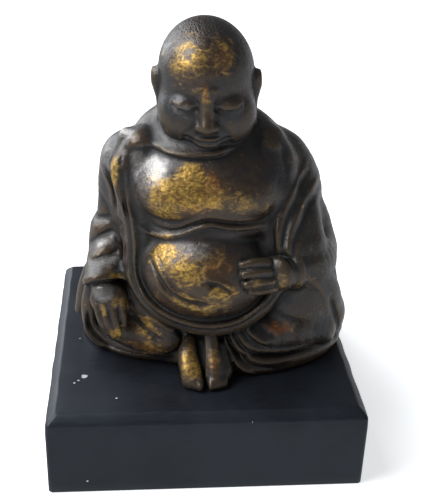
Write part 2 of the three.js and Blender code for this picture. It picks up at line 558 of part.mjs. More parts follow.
function skinOf(form, from, to, step) {
  const [nx, ny, nz] = from.map((low, i) => Math.ceil((to[i] - low) / step / blockSteps) * blockSteps);
  const stride = [1, nx + 1, (nx + 1) * (ny + 1)];
  const value = new Float32Array(stride[2] * (nz + 1));
  const known = new Uint8Array(value.length);
  const at = (i, j, k) => i + j * stride[1] + k * stride[2];
  const sample = (i, j, k) => {
    const n = at(i, j, k);
    if (!known[n]) {
      known[n] = 1;
      value[n] = form(from[0] + i * step, from[1] + j * step, from[2] + k * step);
    }
    return value[n];
  };
  // only the blocks that the skin may pass through are looked at closely
  const reach = step * blockSteps * blockReach;
  const half = blockSteps / 2;
  const blocks = [];
  for (let i = 0; i < nx; i += blockSteps) {
    for (let j = 0; j < ny; j += blockSteps) {
      for (let k = 0; k < nz; k += blockSteps) {
        if (Math.abs(sample(i + half, j + half, k + half)) < reach) blocks.push([i, j, k]);
      }
    }
  }
  const points = [];
  const faces = [];
  const crossings = new Map();
  const gaps = new Map();
  const numberOf = (gap) => {
    if (!gaps.has(gap)) gaps.set(gap, gaps.size);
    return gaps.get(gap);
  };
  const placeOf = (n) => [n % stride[1], Math.floor(n / stride[1]) % (ny + 1), Math.floor(n / stride[2])];
  // the point where the skin crosses the line between two samples
  const crossing = (a, b) => {
    const [low, high] = a < b ? [a, b] : [b, a];
    const key = low * 8 + numberOf(high - low);
    if (crossings.has(key)) return crossings.get(key);
    const share = value[low] / (value[low] - value[high]);
    const t = Math.min(1 - nearestCrossing, Math.max(nearestCrossing, share));
    const other = placeOf(high);
    placeOf(low).forEach((v, i) => points.push(from[i] + step * (v + t * (other[i] - v))));
    crossings.set(key, points.length / 3 - 1);
    return points.length / 3 - 1;
  };
  const tetrahedron = (corner, even) => {
    const inside = corner.map((n) => value[n] < 0);
    const count = inside.filter(Boolean).length;
    if (count === 0 || count === 4) return;
    const sorted = [...corner];
    let straight = even;
    for (let a = 0; a < 4; a++) {
      for (let b = 0; b < 3; b++) {
        if (value[sorted[b]] >= 0 && value[sorted[b + 1]] < 0) {
          [sorted[b], sorted[b + 1]] = [sorted[b + 1], sorted[b]];
          straight = !straight;
        }
      }
    }
    const [a, b, c, d] = sorted;
    const triangles = [];
    if (count === 1) triangles.push([crossing(a, b), crossing(a, c), crossing(a, d)]);
    if (count === 3) triangles.push([crossing(a, d), crossing(b, d), crossing(c, d)]);
    if (count === 2) {
      const [ac, ad, bd, bc] = [crossing(a, c), crossing(a, d), crossing(b, d), crossing(b, c)];
      triangles.push([ac, ad, bd], [ac, bd, bc]);
    }
    for (const [p, q, r] of triangles) faces.push(straight ? [p, q, r] : [p, r, q]);
  };
  for (const [i0, j0, k0] of blocks) {
    for (let i = i0; i < i0 + blockSteps; i++) {
      for (let j = j0; j < j0 + blockSteps; j++) {
        for (let k = k0; k < k0 + blockSteps; k++) {
          let below = 0;
          for (let c = 0; c < 8; c++) below += sample(i + (c & 1), j + ((c >> 1) & 1), k + (c >> 2)) < 0;
          if (below === 0 || below === 8) continue;
          waysAcross.forEach((order, n) => {
            const corner = [at(i, j, k)];
            for (const axis of order) corner.push(corner[corner.length - 1] + stride[axis]);
            tetrahedron(corner, n < 3);
          });
        }
      }
    }
  }
  return { points, faces };
}

// the largest connected piece of a mesh
function largest({ points, faces }) {
  const root = Array.from({ length: points.length / 3 }, (_, n) => n);
  const find = (n) => {
    while (root[n] !== n) {
      root[n] = root[root[n]];
      n = root[n];
    }
    return n;
  };
  for (const [a, b, c] of faces) {
    root[find(a)] = find(b);
    root[find(b)] = find(c);
  }
  const counts = new Map();
  for (const [a] of faces) counts.set(find(a), (counts.get(find(a)) ?? 0) + 1);
  const [main] = [...counts].sort((a, b) => b[1] - a[1])[0];
  return { points, faces: faces.filter(([a]) => find(a) === main) };
}

// the same mesh without the ripples that the samples leave: every point is pulled to the middle of its
// neighbours and pushed back out, so that nothing shrinks
function faired({ points, faces }) {
  const shares = Array(fairingRounds).fill([fairingPull, fairingPush]).flat();
  for (const share of shares) {
    const sum = new Float64Array(points.length);
    const count = new Uint16Array(points.length / 3);
    for (const face of faces) {
      for (let k = 0; k < 3; k++) {
        const [here, next] = [face[k], face[(k + 1) % 3]];
        count[here] += 1;
        for (let i = 0; i < 3; i++) sum[3 * here + i] += points[3 * next + i];
      }
    }
    for (let n = 0; n < points.length; n++) {
      const neighbours = count[Math.floor(n / 3)];
      if (neighbours) points[n] += share * (sum[n] / neighbours - points[n]);
    }
  }
  return { points, faces };
}

// fewer triangles for the same skin: the edge whose loss changes the shape least goes first
function thinned({ points, faces }, wanted, careOf) {
  const place = Float64Array.from(points);
  const count = points.length / 3;
  const around = Array.from({ length: count }, () => new Set());
  const quadric = Array.from({ length: count }, () => new Float64Array(10));
  const age = new Int32Array(count);
  const normalOf = ([a, b, c], moved = -1, to = null) => {
    const at = (n) => (n === moved ? to : [place[3 * n], place[3 * n + 1], place[3 * n + 2]]);
    const [p, q, r] = [at(a), at(b), at(c)];
    const [ux, uy, uz] = [q[0] - p[0], q[1] - p[1], q[2] - p[2]];
    const [vx, vy, vz] = [r[0] - p[0], r[1] - p[1], r[2] - p[2]];
    return [uy * vz - uz * vy, uz * vx - ux * vz, ux * vy - uy * vx];
  };
  faces.forEach((face, f) => {
    const care = careOf(place[3 * face[0]], place[3 * face[0] + 1], place[3 * face[0] + 2]);
    const [nx, ny, nz] = normalOf(face);
    const double = length3(nx, ny, nz) || 1e-12;
    const [a, b, c] = [nx / double, ny / double, nz / double];
    const n = face[0];
    const d = -(a * place[3 * n] + b * place[3 * n + 1] + c * place[3 * n + 2]);
    const plane = [a * a, a * b, a * c, a * d, b * b, b * c, b * d, c * c, c * d, d * d];
    for (const corner of face) {
      around[corner].add(f);
      for (let i = 0; i < 10; i++) quadric[corner][i] += plane[i] * double * care;
    }
  });
  const heap = [];
  const swap = (i, j) => {
    [heap[i], heap[j]] = [heap[j], heap[i]];
  };
  const push = (item) => {
    let i = heap.push(item) - 1;
    while (i > 0 && heap[(i - 1) >> 1].cost > heap[i].cost) {
      swap(i, (i - 1) >> 1);
      i = (i - 1) >> 1;
    }
  };
  const pop = () => {
    const top = heap[0];
    const last = heap.pop();
    if (heap.length) {
      heap[0] = last;
      let i = 0;
      for (;;) {
        const [l, r] = [2 * i + 1, 2 * i + 2];
        let least = i;
        if (l < heap.length && heap[l].cost < heap[least].cost) least = l;
        if (r < heap.length && heap[r].cost < heap[least].cost) least = r;
        if (least === i) break;
        swap(i, least);
        i = least;
      }
    }
    return top;
  };
  // where the two ends of an edge would best meet, and what that costs
  const q = new Float64Array(10);
  const costAt = (x, y, z) => x * (q[0] * x + 2 * (q[1] * y + q[2] * z + q[3]))
    + y * (q[4] * y + 2 * (q[5] * z + q[6])) + z * (q[7] * z + 2 * q[8]) + q[9];
  const plan = (a, b) => {
    for (let i = 0; i < 10; i++) q[i] = quadric[a][i] + quadric[b][i];
    const [ax, ay, az] = [place[3 * a], place[3 * a + 1], place[3 * a + 2]];
    const [bx, by, bz] = [place[3 * b], place[3 * b + 1], place[3 * b + 2]];
    const [mx, my, mz] = [(ax + bx) / 2, (ay + by) / 2, (az + bz) / 2];
    const length = length3(ax - bx, ay - by, az - bz);
    const [c0, c1, c2] = [q[4] * q[7] - q[5] * q[5], q[2] * q[5] - q[1] * q[7], q[1] * q[5] - q[2] * q[4]];
    const volume = q[0] * c0 + q[1] * c1 + q[2] * c2;
    let to = [mx, my, mz];
    if (volume > 1e-3 * ((q[0] + q[4] + q[7]) / 3) ** 3) {
      const [d0, d1, d2] = [q[0] * q[7] - q[2] * q[2], q[1] * q[2] - q[0] * q[5], q[0] * q[4] - q[1] * q[1]];
      const best = [
        -(c0 * q[3] + c1 * q[6] + c2 * q[8]) / volume,
        -(c1 * q[3] + d0 * q[6] + d1 * q[8]) / volume,
        -(c2 * q[3] + d1 * q[6] + d2 * q[8]) / volume,
      ];
      if (length3(best[0] - mx, best[1] - my, best[2] - mz) < length) to = best;
    } else if (costAt(ax, ay, az) < costAt(...to)) {
      to = [ax, ay, az];
    } else if (costAt(bx, by, bz) < costAt(...to)) {
      to = [bx, by, bz];
    }
    const cost = Math.max(costAt(...to), 0) + edgeWeight * length ** 4;
    push({ cost, a, b, to, ageA: age[a], ageB: age[b] });
  };
  const neighbours = (n) => {
    const found = new Set();
    for (const f of around[n]) {
      for (const c of faces[f]) found.add(c);
    }
    found.delete(n);
    return found;
  };
  for (const [a, b, c] of faces) {
    if (a < b) plan(a, b);
    if (b < c) plan(b, c);
    if (c < a) plan(c, a);
  }
  let alive = faces.length;
  while (alive > wanted && heap.length) {
    const { a, b, to, ageA, ageB } = pop();
    if (age[a] !== ageA || age[b] !== ageB || !around[a].size || !around[b].size) continue;
    const nearA = neighbours(a);
    const nearB = neighbours(b);
    let shared = 0;
    for (const n of nearA) shared += nearB.has(n);
    if (shared !== 2) continue;
    let folded = false;
    for (const [end, other] of [[a, b], [b, a]]) {
      for (const f of around[end]) {
        if (faces[f].includes(other)) continue;
        const before = normalOf(faces[f]);
        const after = normalOf(faces[f], end, to);
        const dot = before.reduce((sum, v, i) => sum + v * after[i], 0);
        const size = length3(...after);
        if (dot < sharpestFold * length3(...before) * size || size < leastFace) folded = true;
      }
    }
    if (folded) continue;
    for (const f of [...around[b]]) {
      if (faces[f].includes(a)) {
        for (const c of faces[f]) around[c].delete(f);
        faces[f] = null;
        alive -= 1;
      } else {
        faces[f] = faces[f].map((c) => (c === b ? a : c));
        around[a].add(f);
      }
    }
    around[b].clear();
    to.forEach((v, i) => { place[3 * a + i] = v; });
    for (let i = 0; i < 10; i++) quadric[a][i] += quadric[b][i];
    age[a] += 1;
    age[b] += 1;
    for (const n of neighbours(a)) plan(a, n);
  }
  const used = new Map();
  const kept = [];
  const number = (n) => {
    if (!used.has(n)) {
      used.set(n, kept.length / 3);
      kept.push(place[3 * n], place[3 * n + 1], place[3 * n + 2]);
    }
    return used.get(n);
  };
  const left = faces.filter(Boolean).map((face) => face.map(number));
  return { points: kept, faces: left };
}

const wasm = await Module();
wasm.setup();

// a three.js geometry from points and faces
function geometryOf({ points, faces }) {
  const geometry = new THREE.BufferGeometry();
  geometry.setAttribute('position', new THREE.Float32BufferAttribute(points, 3));
  geometry.setIndex(faces.flat());
  return geometry;
}

function manifoldOf(geometry) {
  const mesh = new wasm.Mesh({
    numProp: 3,
    vertProperties: new Float32Array(geometry.attributes.position.array),
    triVerts: new Uint32Array(geometry.index.array),
  });
  return new wasm.Manifold(mesh);
}

function geometryFrom(manifold) {
  const mesh = manifold.getMesh();
  const geometry = new THREE.BufferGeometry();
  geometry.setAttribute('position', new THREE.BufferAttribute(mesh.vertProperties, 3));
  geometry.setIndex(new THREE.BufferAttribute(mesh.triVerts, 1));
  return geometry;
}

// a square outline with round corners, as a ring of points at a height
function roundedRing(width, depth, radius, z) {
  const ring = [];
  for (let corner = 0; corner < 4; corner++) {
    const side = [[1, 1], [-1, 1], [-1, -1], [1, -1]][corner];
    for (let k = 0; k <= cornerSteps; k++) {
      const angle = (corner + k / cornerSteps) * Math.PI / 2;
      ring.push([side[0] * (width / 2 - radius) + radius * Math.cos(angle),
        side[1] * (depth / 2 - radius) + radius * Math.sin(angle), z]);
    }
  }
  return ring;
}

// a closed solid through rings of points, from the lowest ring to the highest
function stacked(rings) {
  const count = rings[0].length;
  const points = rings.flat(2);
  const faces = [];
  for (let level = 0; level + 1 < rings.length; level++) {
    for (let k = 0; k < count; k++) {
      const [a, b] = [level * count + k, level * count + (k + 1) % count];
      faces.push([a, b, b + count], [a, b + count, a + count]);
    }
  }
  const top = (rings.length - 1) * count;
  for (let k = 1; k + 1 < count; k++) faces.push([0, k + 1, k], [top, top + k, top + k + 1]);
  return geometryOf({ points, faces });
}

function plinthGeometry() {
  const level = (inset, z) => roundedRing(plinthWidth - 2 * inset, plinthDepth - 2 * inset, cornerRadius, z);
  return stacked([
    level(footSoftening, 0),
    level(0, footSoftening),
    level(0, plinthHeight - bevelDrop),
    level(bevelInset, plinthHeight),
  ]);
}

function figureGeometry() {
  const sampled = faired(largest(skinOf(budai, sampledFrom, sampledTo, sampleStep)));
  const skin = thinned(sampled, keptTriangles, careFor);
  for (let n = 0; n < skin.points.length; n += 3) {
    const [x, y, z] = skin.points.slice(n, n + 3);
    skin.points[n] = (x - figureLean * z) * unit;
    skin.points[n + 1] = y * unit;
    skin.points[n + 2] = z * unit;
  }
  const under = new THREE.BoxGeometry(2 * figureHeight, 2 * figureHeight, figureHeight);
  under.translate(0, 0, -figureHeight / 2);
  under.deleteAttribute('normal');
  under.deleteAttribute('uv');
  return geometryFrom(manifoldOf(geometryOf(skin)).subtract(manifoldOf(mergeVertices(under))));
}

const bronze = new THREE.MeshStandardMaterial({ color: 0x2b2520, roughness: 0.38, metalness: 0.75 });
const ebonised = new THREE.MeshStandardMaterial({ color: 0x14181d, roughness: 0.5, metalness: 0 });

const plinth = new THREE.Mesh(plinthGeometry(), ebonised);
plinth.name = 'plinth';

const figure = new THREE.Mesh(figureGeometry(), bronze);
figure.name = 'figure';

const onPlinth = new THREE.Group();
onPlinth.position.set(figureShift, 0, plinthHeight + seatGap);
onPlinth.rotation.z = figureTurn;
onPlinth.add(figure);

const part = new THREE.Group();
part.add(plinth, onPlinth);

export default part;
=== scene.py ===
import math
import bpy
import numpy as np
from mathutils import Matrix, Vector


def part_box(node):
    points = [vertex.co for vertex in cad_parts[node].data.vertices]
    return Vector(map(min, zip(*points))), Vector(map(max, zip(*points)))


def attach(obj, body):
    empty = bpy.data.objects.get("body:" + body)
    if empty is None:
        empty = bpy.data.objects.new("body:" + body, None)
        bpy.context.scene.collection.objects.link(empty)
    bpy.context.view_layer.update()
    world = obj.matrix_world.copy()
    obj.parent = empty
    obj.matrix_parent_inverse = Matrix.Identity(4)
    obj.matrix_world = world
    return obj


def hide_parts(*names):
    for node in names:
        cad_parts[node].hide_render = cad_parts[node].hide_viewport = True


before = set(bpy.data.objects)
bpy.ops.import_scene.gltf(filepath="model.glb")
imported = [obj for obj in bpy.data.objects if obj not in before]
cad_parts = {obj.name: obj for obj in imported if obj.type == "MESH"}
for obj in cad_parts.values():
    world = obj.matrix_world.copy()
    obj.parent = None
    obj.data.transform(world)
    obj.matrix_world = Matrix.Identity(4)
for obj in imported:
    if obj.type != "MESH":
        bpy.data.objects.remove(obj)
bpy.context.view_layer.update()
print("the packed frame is loaded")

# the camera stands where the photograph was taken from; its focal length is in pixels of the 432 x 500 image
camera = {"place": (-0.0254, -0.3313, 0.2447), "yaw": 5.4, "pitch": 27.5, "roll": 2.0, "focal": 927.4,
          "imageHeight": 500, "sensor": 36}


def linked(name, data):
    piece = bpy.data.objects.new(name, data)
    bpy.context.scene.collection.objects.link(piece)
    return piece


def placeCamera():
    data = bpy.data.cameras.new("camera")
    data.sensor_width = camera["sensor"]
    data.lens = camera["focal"] / camera["imageHeight"] * camera["sensor"]
    turns = ((-camera["yaw"], "Z"), (90 - camera["pitch"], "X"), (camera["roll"], "Z"))
    yaw, pitch, roll = (Matrix.Rotation(math.radians(angle), 4, axis) for angle, axis in turns)
    piece = linked("camera", data)
    piece.matrix_world = Matrix.Translation(camera["place"]) @ yaw @ pitch @ roll
    bpy.context.scene.camera = piece


placeCamera()

# The figure is modelled like clay. A form is a function of places that gives the distance to its skin, below
# zero inside. Places and sizes are hundredths of the figure's height: x to the viewer's right, y away from
# the viewer and z up from the seat. Far from its own box a form isn't worked out.
clay = {"reach": 8.0, "far": 30.0, "least": 1e-6, "joint": 0.35}


def floats(v):
    return np.array(v, np.float32)


def squared(v):
    return np.einsum("ij,ij->i", v, v)


def size(v):
    return np.sqrt(squared(v))


def mirrored(p):
    # both halves are looked up on the right
    q = p.copy()
    q[:, 0] = np.abs(q[:, 0])
    return q


def near(low, high, work, margin=clay["reach"], elsewhere=clay["far"]):
    low, high = floats(low) - margin, floats(high) + margin

    def value(p):
        out = np.full(len(p), elsewhere, np.float32)
        inside = np.flatnonzero(((p > low) & (p < high)).all(1))
        if len(inside):
            out[inside] = work(p[inside])
        return out

    value.low, value.high = low + margin, high - margin
    return value


def turned(degrees):
    x, y, z = (Matrix.Rotation(math.radians(angle), 3, axis) for angle, axis in zip(degrees, "XYZ"))
    return floats(z @ y @ x)


def egg(at, radii, turn=(0, 0, 0)):
    middle, r, axes = floats(at), floats(radii), turned(turn)

    def distance(p):
        q = (p - middle) @ axes / r
        far = size(q)
        return far * (far - 1) / np.maximum(size(q / r), clay["least"])

    return near(middle - max(radii), middle + max(radii), distance)


def smoothPath(points, steps=4, closed=False):
    points = floats(points)
    count = len(points)
    if count == 2:
        return points
    if not closed:
        points = np.concatenate([[2 * points[0] - points[1]], points, [2 * points[-1] - points[-2]]])
    path = []
    for k in range(count if closed else count - 1):
        a, b, c, d = (points[(k + n - 1) % count] if closed else points[k + n] for n in range(4))
        for t in np.arange(steps) / steps:
            path.append((2 * b + (c - a) * t + (2 * a - 5 * b + 4 * c - d) * t ** 2
                         + (3 * b - a - 3 * c + d) * t ** 3) / 2)
    path.append(path[0] if closed else points[-2])
    return floats(path)


def alongPath(p, path):
    # each stretch of a path in turn, with how far along it every place is and the way to it
    for k in range(len(path) - 1):
        a, step = path[k, :p.shape[1]], (path[k + 1] - path[k])[:p.shape[1]]
        t = np.clip((p - a) @ step / max(float(step @ step), clay["least"]), 0, 1)
        yield k, t, p - a - t[:, None] * step


def limb(points, steps=4):
    path = smoothPath(points, steps)

    def distance(p):
        best = np.full(len(p), clay["far"], np.float32)
        for k, t, way in alongPath(p, path):
            best = np.minimum(best, size(way) - path[k, 3] - t * (path[k + 1, 3] - path[k, 3]))
        return best

    thickest = path[:, 3].max()
    return near(path[:, :3].min(0) - thickest, path[:, :3].max(0) + thickest, distance)


def line(points, width):
    # 1 on a line in space, fading to 0 over its width
    path = smoothPath(points)

    def strength(p):
        best = np.full(len(p), np.inf, np.float32)
        for _, _, way in alongPath(p, path):
            best = np.minimum(best, squared(way))
        return np.exp(-best / width ** 2)

    return near(path.min(0), path.max(0), strength, 3 * width, 0)


def stroke(points, width, height, fading=5):
    # a fold drawn on the front or the back as a line of x and z, which dies out at its ends
    path = smoothPath(points)

    def raised(p):
        flat = p[:, [0, 2]]
        best, where = np.full(len(p), np.inf, np.float32), np.zeros(len(p), np.float32)
        for k, t, way in alongPath(flat, path):
            far = squared(way)
            where = np.where(far < best, (k + t) / (len(path) - 1), where)
            best = np.minimum(best, far)
        ends = np.clip(fading * np.minimum(where, 1 - where), 0, 1) ** 0.7
        return height * ends * np.exp(-best / width ** 2)

    low, high = path.min(0), path.max(0)
    return near((low[0], -99, low[1]), (high[0], 99, high[1]), raised, 3 * width, 0)


def join(a, b, soft):
    h = np.maximum(soft - np.abs(a - b), 0) / soft
    return np.minimum(a, b) - h * h * soft / 4


def cut(a, b, soft):
    return -join(-a, b, soft)


def ramp(value, low, high):
    t = np.clip((value - low) / (high - low), 0, 1)
    return t * t * (3 - 2 * t)


def bell(value, at, width):
    return np.exp(-((value - at) / width) ** 2)


def together(forms, soft):
    def distance(p):
        d = np.full(len(p), clay["far"], np.float32)
        for form in forms:
            d = join(d, form(p), soft)
        return d

    return near(np.min([f.low for f in forms], 0), np.max([f.high for f in forms], 0), distance)


def limbs(soft, *paths):
    return together([limb(path) for path in paths], soft)


def strokes(*drawn):
    return [stroke(*one) for one in drawn]


def summed(folds, p):
    return sum(fold(p) for fold in folds)


def insideOutline(flat, path):
    # distance to a closed outline seen from the front, below zero inside it
    best, inside = np.full(len(flat), np.inf, np.float32), np.zeros(len(flat), bool)
    for k, _, way in alongPath(flat, path):
        best = np.minimum(best, squared(way))
        (ax, az), (bx, bz) = path[k], path[k + 1]
        if az != bz:
            crosses = (az > flat[:, 1]) != (bz > flat[:, 1])
            inside ^= crosses & (flat[:, 0] - ax < (flat[:, 1] - az) * (bx - ax) / (bz - az))
    return np.where(inside, -1, 1) * np.sqrt(best)


# the head is a calm one of its own, with lowered lids, and bows a little; one half is mirrored
head = {
    "at": (0.3, -5.0, 83.8), "bow": 9,
    "forms": [
        (join, egg((0, 1.2, 3.4), (13.4, 15.2, 14.6)), 1),
        (join, egg((0, -2.4, -7), (13, 12.6, 11.2)), 5),
        (join, egg((7.2, -8, -6), (5.8, 5.8, 6)), 4),
        (join, egg((0, -12.6, -14.6), (4.6, 3.4, 3)), 3),
        (cut, egg((5.7, -16.4, 0.2), (4.2, 3, 2.1)), 2.2),
        (join, egg((5.7, -12.1, -0.4), (3.7, 2.5, 2.1)), 1.3),
        (join, limb([(0, -13.3, 3.4, 1), (0, -15, -1.8, 1.2), (0, -16.6, -5.2, 1.9)]), 2.8),
        (join, egg((2.1, -15.2, -5.7), (1.5, 1.8, 1.3)), 1.1),
        (join, limb([(0, -15.1, -9.6, 0.95), (2.3, -14.9, -9.5, 0.85), (4.8, -13.6, -8.9, 0.4)]), 0.7),
        (join, limb([(0, -14.9, -11.1, 1), (2.2, -14.6, -11, 0.9), (4.2, -13.5, -10.1, 0.4)]), 0.7),
        (join, limb([(5.2, -9.4, -15, 1.5), (0, -11.6, -17.4, 1.6)]), 2.2),
    ],
    "carved": [
        (line([(0, -16, -10.3), (2.4, -15.6, -10.25), (5.6, -13.6, -9.3)], 0.42), 0.55),
        (line([(2.4, -14, -0.9), (5.6, -14.6, -1.6), (9.2, -12.6, -0.4)], 0.45), 0.6),
        (line([(2.6, -14, 0.9), (5.7, -14.4, 1.8), (9.2, -12.2, 0.7)], 0.4), 0.35),
        (line([(3.4, -15, -5.4), (5.9, -13.6, -8.2), (6.3, -12.4, -11.2)], 0.8), 0.35),
        (line([(0, -15, -12.9), (3.2, -14, -12.5)], 0.7), 0.35),
        (line([(2.3, -16.2, -6.6), (3.1, -15.6, -6.4)], 0.5), 0.5),
        (line([(0, -16.2, -7.4), (0, -15.4, -8.8)], 0.45), 0.2),
        (line([(2.6, -14.6, 4.4), (6.2, -14.4, 5.6), (10.6, -11.4, 4)], 1.1), -0.45),
        (line([(0, -14, -18.6), (6.6, -9.6, -16.4), (10.6, -4, -12)], 0.6), 0.3),
    ],
    "ear": [
        (join, egg((13.2, 0.2, 0.6), (2.3, 3.2, 4.3), (12, 0, 10)), 1),
        (join, limb([(13, -1.2, -2.6, 1.4), (12.7, -2.2, -7.5, 1.4), (12.6, -2.8, -12, 1.6)]), 1.6),
    ],
    "earRim": line([(14.6, -2.2, 0.6), (14.9, -1.2, 3), (14.9, 0.6, 4), (14.9, 2.4, 2.6), (14.8, 2.8, -0.6),
                    (14.3, 1.2, -3.8)], 0.6),
    "earHollow": line([(15.3, 0.2, 2), (15.3, 0.8, 0), (15.1, 0, -2.4)], 0.9),
    "rimRise": 0.55, "hollowDepth": 0.9, "earJoin": 0.6,
    "below": (17, 20, 22), "above": (17, 18, 20), "margin": 4,
}


def modelled(steps, p):
    d = np.full(len(p), clay["far"], np.float32)
    for step, form, soft in steps:
        d = step(d, form(p), soft)
    return d


def makeHead():
    bow = turned((head["bow"], 0, 0))

    def distance(p):
        q = mirrored((p - floats(head["at"])) @ bow)
        d = modelled(head["forms"], q)
        for drawn, depth in head["carved"]:
            d += depth * drawn(q)
        ear = modelled(head["ear"], q) - head["rimRise"] * head["earRim"](q)
        return join(d, ear + head["hollowDepth"] * head["earHollow"](q), head["earJoin"])

    middle = np.array(head["at"])
    return near(middle - head["below"], middle + head["above"], distance, head["margin"])


# the bare chest and belly, and the folds across them
body = {
    "trunk": egg((0, 0, 46), (28.5, 18.2, 31)),
    "belly": egg((-0.6, -13, 30.7), (20.8, 19.4, 16.7)),
    "breast": egg((7, -11.2, 54.4), (14.8, 13.2, 10.2), (0, -5, 0)),
    "breastbone": egg((0, -12, 55), (9, 12.2, 8.4)),
    "collarbones": egg((0, -5.5, 60), (20, 15, 12)),
    "neck": limb([(0, 0, 60, 13), (0, -3, 76, 10)]),
    "chestEdge": limb([
        (-18.4, -13.4, 46.8, 2.5), (-9.5, -19, 47.4, 2.3), (-3, -20, 49.4, 2.1), (1, -20, 50.6, 2),
        (8, -19.4, 49.6, 2.2), (17.4, -13.2, 49.2, 2.5)]),
    "underBelly": limb([
        (-20.4, -10.6, 32, 2.8), (-19, -15, 27.6, 3), (-16.2, -18.6, 24, 3.1), (-12, -21.2, 21.2, 3.1),
        (-6, -23.2, 19.3, 3), (0, -23.8, 18.6, 3), (6, -23.2, 19.2, 3), (12, -21, 22, 3),
        (16.6, -17.4, 26, 3)]),
    "sides": limbs(1.5,
        [(-18.4, -9.4, 66.4, 3.8), (-20.2, -11.6, 60, 3.4), (-20, -13, 54, 3.6), (-18.6, -15, 46, 4),
         (-18.6, -16.2, 38, 3.7), (-18.6, -17.1, 31, 3.5)],
        [(17.4, -9.4, 66, 3.2), (18.6, -11.8, 60, 2.8), (18.4, -14, 51, 3), (18, -15.6, 44, 3.6),
         (18.6, -18, 36, 3.2), (18, -18, 29, 3)],
        [(-16, -15.6, 44.6, 3.4), (-8, -19.6, 44.8, 3.2), (0, -20.8, 45.8, 3), (8, -19.8, 46, 3.2),
         (16, -15.8, 46, 3.4)]),
    "folds": strokes(
        ([(-20.2, 46.6), (-16.2, 43.8), (-10.2, 44.6), (-2.8, 47.5), (1, 48.6), (8, 47.6), (17.6, 47)],
         0.7, 0.65),
        ([(-18.4, 46.8), (-10.2, 45.9), (-2.8, 48.9), (1, 50), (8, 49), (16.6, 48.4)], 0.55, -0.5),
        ([(-17.3, 48.9), (-10.1, 47.2), (-2.8, 50.2), (1, 51.4), (9, 50.2), (15.6, 49.6)], 0.7, 0.4),
        ([(-15.6, 39), (-13.4, 36), (-11.2, 32.9), (-9.3, 31.3), (-5.1, 29.9), (-1, 29.3)], 0.6, 0.6),
        ([(-16.6, 38), (-12.6, 32.2), (-9.8, 30), (-5, 28.5), (0.6, 28)], 0.7, -0.8),
        ([(-16.5, 33.8), (-11, 28.6), (-4, 26.2), (3, 25.4)], 1.2, 0.45),
        ([(-2, 34.8), (1.7, 34.2), (4.6, 32.8), (7.6, 30)], 0.6, -0.6),
        ([(-1.4, 35.8), (2.2, 35.3), (5.4, 33.8), (8.6, 30.8)], 0.7, 0.45),
        ([(-8, 23.4), (0, 22), (9, 23)], 1.1, -0.3),
    ),
    "navel": (1.4, 33.6), "navelSize": (1.3, 0.8), "navelDepth": 0.9, "front": (8, 14),
}


def bareBody(p):
    chest = body["breast"](mirrored(p))
    for name, soft in (("breastbone", 4), ("collarbones", 6), ("neck", 4), ("chestEdge", 2)):
        chest = join(chest, body[name](p), soft)
    inside = body["trunk"](p)
    d = join(join(chest, inside, 4), join(body["belly"](p), inside, 3), 0.8)
    d = join(join(d, body["underBelly"](p), 1.6), body["sides"](p), 2.4)
    (x, z), (wide, high) = body["navel"], body["navelSize"]
    front = ramp(-p[:, 1], *body["front"])
    d -= front * summed(body["folds"], p)
    return d + front * body["navelDepth"] * bell(p[:, 0], x, wide) * bell(p[:, 2], z, high)


